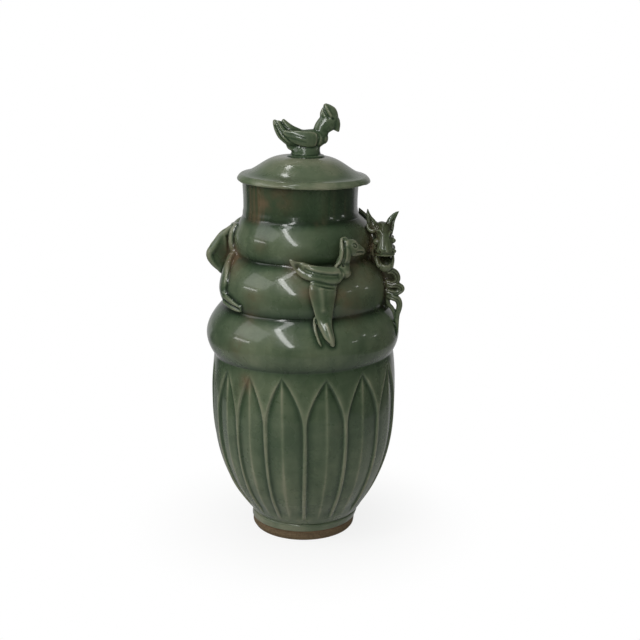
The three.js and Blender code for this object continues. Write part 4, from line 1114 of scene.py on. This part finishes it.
class Nodes:
    """A short way to add and join the nodes of one shader tree."""

    def __init__(self, tree):
        self.tree = tree
        places = self.add("ShaderNodeTexCoord").outputs
        self.place = places["Object"]
        self.direction = places["Generated"]

    def put(self, socket, value):
        if isinstance(value, bpy.types.NodeSocket):
            self.tree.links.new(value, socket)
        else:
            socket.default_value = value

    def set(self, node, **inputs):
        """Fills inputs by name. An underscore stands for a space in the name."""
        for key, value in inputs.items():
            self.put(node.inputs[key.replace("_", " ")], value)
        return node

    def fill(self, node, *values):
        """Fills inputs in their order and gives the first output."""
        for socket, value in zip(node.inputs, values):
            self.put(socket, value)
        return node.outputs[0]

    def add(self, kind, settings=None, **inputs):
        node = self.tree.nodes.new(kind)
        for key, value in (settings or {}).items():
            setattr(node, key, value)
        return self.set(node, **inputs)

    def noise(self, scale, detail=3.0, roughness=0.5, stretch=(1, 1, 1), shift=0.0):
        moved = self.add("ShaderNodeMapping", Vector=self.place, Scale=stretch, Location=[shift] * 3)
        texture = self.add("ShaderNodeTexNoise", Vector=moved.outputs[0], Scale=scale, Detail=detail,
                           Roughness=roughness)
        return texture.outputs["Fac"]

    def math(self, operation, a, b=0.0, c=0.0):
        return self.fill(self.add("ShaderNodeMath", {"operation": operation}), a, b, c)

    def product(self, a, b):
        return self.math("MULTIPLY", a, b)

    def between(self, value, start, end, low=0.0, high=1.0):
        """Leads softly from low to high as the value goes from start to end."""
        node = self.add("ShaderNodeMapRange", {"interpolation_type": "SMOOTHSTEP"})
        return self.fill(node, value, start, end, low, high)

    def ramp(self, value, stops):
        node = self.add("ShaderNodeValToRGB", Fac=value)
        elements = node.color_ramp.elements
        while len(elements) < len(stops):
            elements.new(0.5)
        for element, (position, colour) in zip(elements, stops):
            element.position = position
            element.color = (*colour, 1)
        return node.outputs["Color"]

    def mix(self, factor, a, b):
        """Blends two colours, whose sockets stand behind those for numbers and vectors."""
        node = self.add("ShaderNodeMix", {"data_type": "RGBA"})
        for index, value in ((0, factor), (6, a), (7, b)):
            self.put(node.inputs[index], value)
        return node.outputs[2]

    def attribute(self, name):
        return self.add("ShaderNodeAttribute", {"attribute_name": name}).outputs["Fac"]

    def bump(self, height, distance, strength, normal=None):
        node = self.add("ShaderNodeBump", Height=height, Distance=distance, Strength=strength)
        if normal is not None:
            self.put(node.inputs["Normal"], normal)
        return node.outputs[0]

    def mix_shader(self, factor, a, b):
        return self.fill(self.add("ShaderNodeMixShader"), factor, a, b)

    def by_ray(self, plain, mirrored, seen):
        """One shader as plain light, one as the jar mirrors it and one as the camera sees it."""
        ray = self.add("ShaderNodeLightPath").outputs
        unseen = self.mix_shader(ray["Is Glossy Ray"], plain, mirrored)
        return self.mix_shader(ray["Is Camera Ray"], unseen, seen)


glaze_stops = [
    (0.00, (0.208, 0.222, 0.148)),
    (0.20, (0.118, 0.152, 0.090)),
    (0.42, (0.061, 0.093, 0.050)),
    (0.64, (0.035, 0.062, 0.030)),
    (1.00, (0.010, 0.021, 0.009)),
]
scorched = (0.150, 0.102, 0.058, 1)
speck = (0.03, 0.03, 0.018, 1)
clay_stops = [
    (0.1, (0.085, 0.056, 0.030)),
    (0.5, (0.165, 0.115, 0.062)),
    (0.9, (0.250, 0.180, 0.105)),
]
clay_speck = (0.035, 0.024, 0.016, 1)
burnt_clay = (0.16, 0.082, 0.04, 1)
coat_roughness = 0.07


def new_material(name):
    """A material, its nodes and its main shader."""
    material = bpy.data.materials.new(name)
    material.use_nodes = True
    n = Nodes(material.node_tree)
    return material, n, n.tree.nodes["Principled BSDF"]


def glaze_colour(n, depth_shift):
    """Thin glaze is pale and tan, thick glaze a deep green. The painted shade that is carried with the glaze
    depth darkens it the same way.
    """
    clouds = n.noise(26, 3)
    mottle = n.noise(130, 4, 0.6, shift=3.1)
    runs = n.noise(95, 3, 0.55, stretch=(1, 1, 0.12), shift=1.7)
    depth = n.math("MULTIPLY_ADD", n.attribute("pool_and_shade"), 0.36, 0.45 + depth_shift)
    for pattern, share in ((clouds, 0.62), (mottle, 0.26), (runs, 0.34)):
        depth = n.math("MULTIPLY_ADD", n.math("SUBTRACT", pattern, 0.5), share, depth)
    blotches = n.between(n.noise(48, 4, 0.6, shift=7.7), 0.55, 0.78)
    burnt = n.product(n.attribute("scorch"), n.between(mottle, 0.2, 0.62))
    streaks = n.between(n.noise(160, 2, 0.5, stretch=(1, 1, 0.05), shift=4.4), 0.52, 0.7)
    streaks = n.product(n.attribute("streak"), streaks)
    brown = n.math("ADD", burnt, n.product(blotches, 0.1))
    brown = n.math("ADD", brown, n.product(streaks, 0.55))
    colour = n.mix(n.math("MINIMUM", brown, 0.85), n.ramp(depth, glaze_stops), scorched)
    specks = n.between(n.noise(900, 2, 0.6, shift=9.0), 0.73, 0.8)
    return n.mix(n.product(specks, 0.4), colour, speck)


def glaze_surface(n):
    """Soft ripples where the glaze ran, orange peel and a few pinholes."""
    ripple = n.bump(n.noise(75, 2, 0.4, shift=2.2), 0.0011, 0.5)
    peel = n.bump(n.noise(420, 2, 0.5, shift=5.5), 0.00016, 0.35, ripple)
    pits = n.between(n.noise(1300, 1, 0.5, shift=6.6), 0.2, 0.27)
    return n.bump(pits, 0.0002, 0.35, peel)


def celadon(name, depth_shift=0.0):
    material, n, shader = new_material(name)
    n.set(shader, Base_Color=glaze_colour(n, depth_shift), Normal=glaze_surface(n),
          Roughness=n.between(n.noise(60, 3, 0.6, shift=8.1), 0.3, 0.75, 0.24, 0.36),
          IOR=1.5, Specular_IOR_Level=0.32, Coat_Weight=0.6, Coat_Roughness=coat_roughness)
    return material


def clay_colour(n):
    grain = n.noise(700, 4, 0.7)
    bands = n.noise(60, 3, 0.6, stretch=(0.25, 0.25, 4))
    tone = n.math("MULTIPLY_ADD", bands, 0.8, 0.1)
    tone = n.math("MULTIPLY_ADD", n.math("SUBTRACT", grain, 0.5), 0.9, tone)
    specks = n.between(n.noise(1100, 2, 0.6, shift=2.0), 0.66, 0.72)
    return n.mix(specks, n.ramp(tone, clay_stops), clay_speck)


def clay_surface(n):
    coarse = n.bump(n.noise(900, 4, 0.7, shift=1.0), 0.0003, 0.6)
    return n.bump(n.noise(110, 2, 0.5, stretch=(0.2, 0.2, 6), shift=3.0), 0.0004, 0.6, coarse)


def bare_clay(name):
    material, n, shader = new_material(name)
    n.set(shader, Base_Color=clay_colour(n), Normal=clay_surface(n), Roughness=0.85)
    return material


def clay_under_glaze(name):
    """Bare clay up to the uneven line where the glaze stops, and glaze above it."""
    material, n, shader = new_material(name)
    height = n.add("ShaderNodeSeparateXYZ", Vector=n.place).outputs["Z"]
    edge = n.noise(45, 3, 0.5, stretch=(1, 1, 0.1))
    edge = n.math("MULTIPLY_ADD", edge, 1.6 * MM, (glaze_line_z - 0.75) * MM)
    above_line = n.math("SUBTRACT", height, edge)
    glazed = n.between(above_line, -0.15 * MM, 0.2 * MM)
    burnt = n.product(n.between(above_line, -1.6 * MM, -0.1 * MM), 0.6)
    clay = n.mix(burnt, clay_colour(n), burnt_clay)
    n.set(shader, Base_Color=n.mix(glazed, clay, glaze_colour(n, -0.06)),
          Normal=n.bump(glazed, 0.0003, 0.6, clay_surface(n)),
          Roughness=n.between(glazed, 0.2, 0.8, 0.85, 0.3),
          Coat_Weight=n.product(glazed, 0.55), Coat_Roughness=coat_roughness)
    return material


# Stage, light and camera, in metres

floor_half = 6
white = (1, 1, 1, 1)
ambient = (1, 1, 0.95, 1)
paper = (0.86, 0.86, 0.85, 1)
dim_paper = (0.62, 0.61, 0.56, 1)

# Name, azimuth (0 in front, then to the right), elevation, distance, width, height, radiance, roll
lights = [
    ("key_window", -25, 35, 0.95, 0.11, 0.88, 11.5, 31),
    ("key_window_top", -36, 65, 0.95, 0.1, 0.42, 6, -21),
    ("left_fill", -74, 34, 1.3, 0.9, 0.6, 1.6, 0),
    ("left_strip", -76, 14, 0.9, 0.36, 0.07, 6, 0),
    ("right_lamp_a", 62, 12, 1.0, 0.12, 0.035, 6, 0),
    ("right_lamp_b", 78, 20, 1.0, 0.06, 0.05, 7, 0),
    ("right_lamp_c", 92, 8, 1.0, 0.10, 0.035, 6, 0),
    ("lid_lamp", -150, 66, 0.97, 0.09, 0.09, 9, 0),
]
aim = Vector((0, 0, 0.15))

camera_place = (0, -0.750, 0.338)
camera_pitch = 14.75
camera_settings = {"lens": 67.02, "sensor_width": 36, "shift_x": 0.0255, "clip_start": 0.05, "clip_end": 20}


def stage_floor():
    """Paper that fades to white away from the jar. The glaze mirrors a dim table, paler behind the jar."""
    s = floor_half
    mesh = bpy.data.meshes.new("floor")
    mesh.from_pydata([(-s, -s, 0), (s, -s, 0), (s, s, 0), (-s, s, 0)], [], [(0, 1, 2, 3)])
    material, n, shader = new_material("floor_paper")
    n.tree.nodes.remove(shader)
    axes = n.add("ShaderNodeSeparateXYZ", Vector=n.place).outputs
    x, y = axes["X"], axes["Y"]
    x_size = n.math("ABSOLUTE", x)
    out = n.math("SQRT", n.math("ADD", n.product(x, x), n.product(y, y)))
    near = n.add("ShaderNodeBsdfDiffuse", Color=paper).outputs[0]
    far = n.add("ShaderNodeEmission", Color=white, Strength=1.0).outputs[0]
    seen = n.mix_shader(n.between(out, 0.03, 0.13, 0.84, 1.0), near, far)
    plain = n.add("ShaderNodeBsdfDiffuse", Color=dim_paper).outputs[0]
    table_side = n.between(x_size, 0.285, 0.30, 1, 0)
    table_front = n.between(y, -0.335, -0.325)
    beneath = n.product(n.product(table_side, table_front), 0.25)
    far_back = n.math("MULTIPLY_ADD", x_size, -0.95, y)
    behind = n.product(n.between(far_back, -0.02, 0.12), 0.45)
    glow = n.math("ADD", n.math("MAXIMUM", beneath, behind), 0.06)
    mirrored = n.add("ShaderNodeEmission", Color=white, Strength=glow).outputs[0]
    n.set(n.tree.nodes["Material Output"], Surface=n.by_ray(plain, mirrored, seen))
    mesh.materials.append(material)
    floor = add_object("floor", mesh)


def studio_world():
    world = bpy.data.worlds.new("studio")
    bpy.context.scene.world = world
    world.use_nodes = True
    world.node_tree.nodes.clear()
    n = Nodes(world.node_tree)
    towards = n.add("ShaderNodeSeparateXYZ", Vector=n.direction).outputs
    behind = n.between(towards["Y"], 0.6, 0.95, 0.04, 0.45)
    plain, mirrored, seen = [
        n.add("ShaderNodeBackground", Color=colour, Strength=strength).outputs[0]
        for colour, strength in ((ambient, 0.34), (white, behind), (white, 1))]
    n.add("ShaderNodeOutputWorld", Surface=n.by_ray(plain, mirrored, seen))


def soft_light(name, azimuth, elevation, distance, width, height, radiance, roll):
    """A rectangular light aimed at the jar."""
    light = bpy.data.lights.new(name, "AREA")
    light.shape = "RECTANGLE"
    light.size = width
    light.size_y = height
    light.energy = radiance * width * height * math.pi
    lamp = add_object(name, light)
    a, e = math.radians(azimuth), math.radians(elevation)
    away = Vector((math.sin(a) * math.cos(e), -math.cos(a) * math.cos(e), math.sin(e)))
    turn = Euler((0, 0, math.radians(roll))).to_quaternion()
    lamp.location = aim + away * distance
    lamp.rotation_mode = "QUATERNION"
    lamp.rotation_quaternion = (-away).to_track_quat("-Z", "Y") @ turn
    lamp.visible_camera = False


def set_camera():
    data = bpy.data.cameras.new("camera")
    for key, value in camera_settings.items():
        setattr(data, key, value)
    camera = add_object("camera", data)
    camera.location = camera_place
    camera.rotation_euler = (math.radians(90 - camera_pitch), 0, 0)
    bpy.context.scene.camera = camera


def build_jar():
    """The figures come first, because the glaze on the jar is painted darker where they are seated, as pooled
    glaze and as painted shade.
    """
    up_z, low_z = upper_crease_z, lower_crease_z
    glaze = celadon("celadon_on_jar")
    figure_glaze = celadon("celadon_on_figures")
    lid_glaze = celadon("celadon_on_lid", -0.28)
    foot_clay = clay_under_glaze("clay_and_glaze_of_foot")
    clay = bare_clay("clay_of_flange")
    figure("dragon_body", dragon_body(), jar_core(low_z - 4, rim_z - 6, 84, 318), "jar", figure_glaze,
           named("dragon_", "trunk tail haunch hind_leg hind_paw far_fore_leg far_fore_paw far_hind_leg"
                 " far_hind_paw fin_1 fin_2 fin_3 fin_4 fin_5 fin_6"), size=coarse_voxel, rounds=5)
    figure("dragon_head_and_beard", dragon_head(), jar_core(shoulder_z + 4, rim_z - 6, 52, 102), "jar",
           figure_glaze, named("dragon_", "head lower_jaw left_ear right_ear left_eye right_eye beard"),
           size=fine_voxel, thicker=0.35)
    figure("shoulder_bird", shoulder_bird(), jar_core(shoulder_z + 4, neck_base_z + 4, -22, 58), "jar",
           figure_glaze, ["bird_perch", *named("shoulder_bird_", "body head wing")], thicker=-0.2)
    jar_foot(foot_clay)
    petal_bowl(glaze)
    section("lower_roll", shoulder_z, low_z, wall, wall, glaze)
    section("middle_roll", low_z, up_z, wall, wall, glaze)
    section("upper_roll", up_z, neck_base_z, wall, neck_wall, glaze)
    jar_neck(glaze)
    lid_dome(lid_glaze)
    lid_flange(clay)
    figure("knob_bird", knob_bird(), lid_core(), "lid", figure_glaze,
           ["knob_stem", *named("knob_bird_", "body tail left_wing right_wing head")], thicker=0.3)


build_jar()
stage_floor()
studio_world()
for light in lights:
    soft_light(*light)
set_camera()
bpy.context.scene.view_settings.view_transform = "Standard"
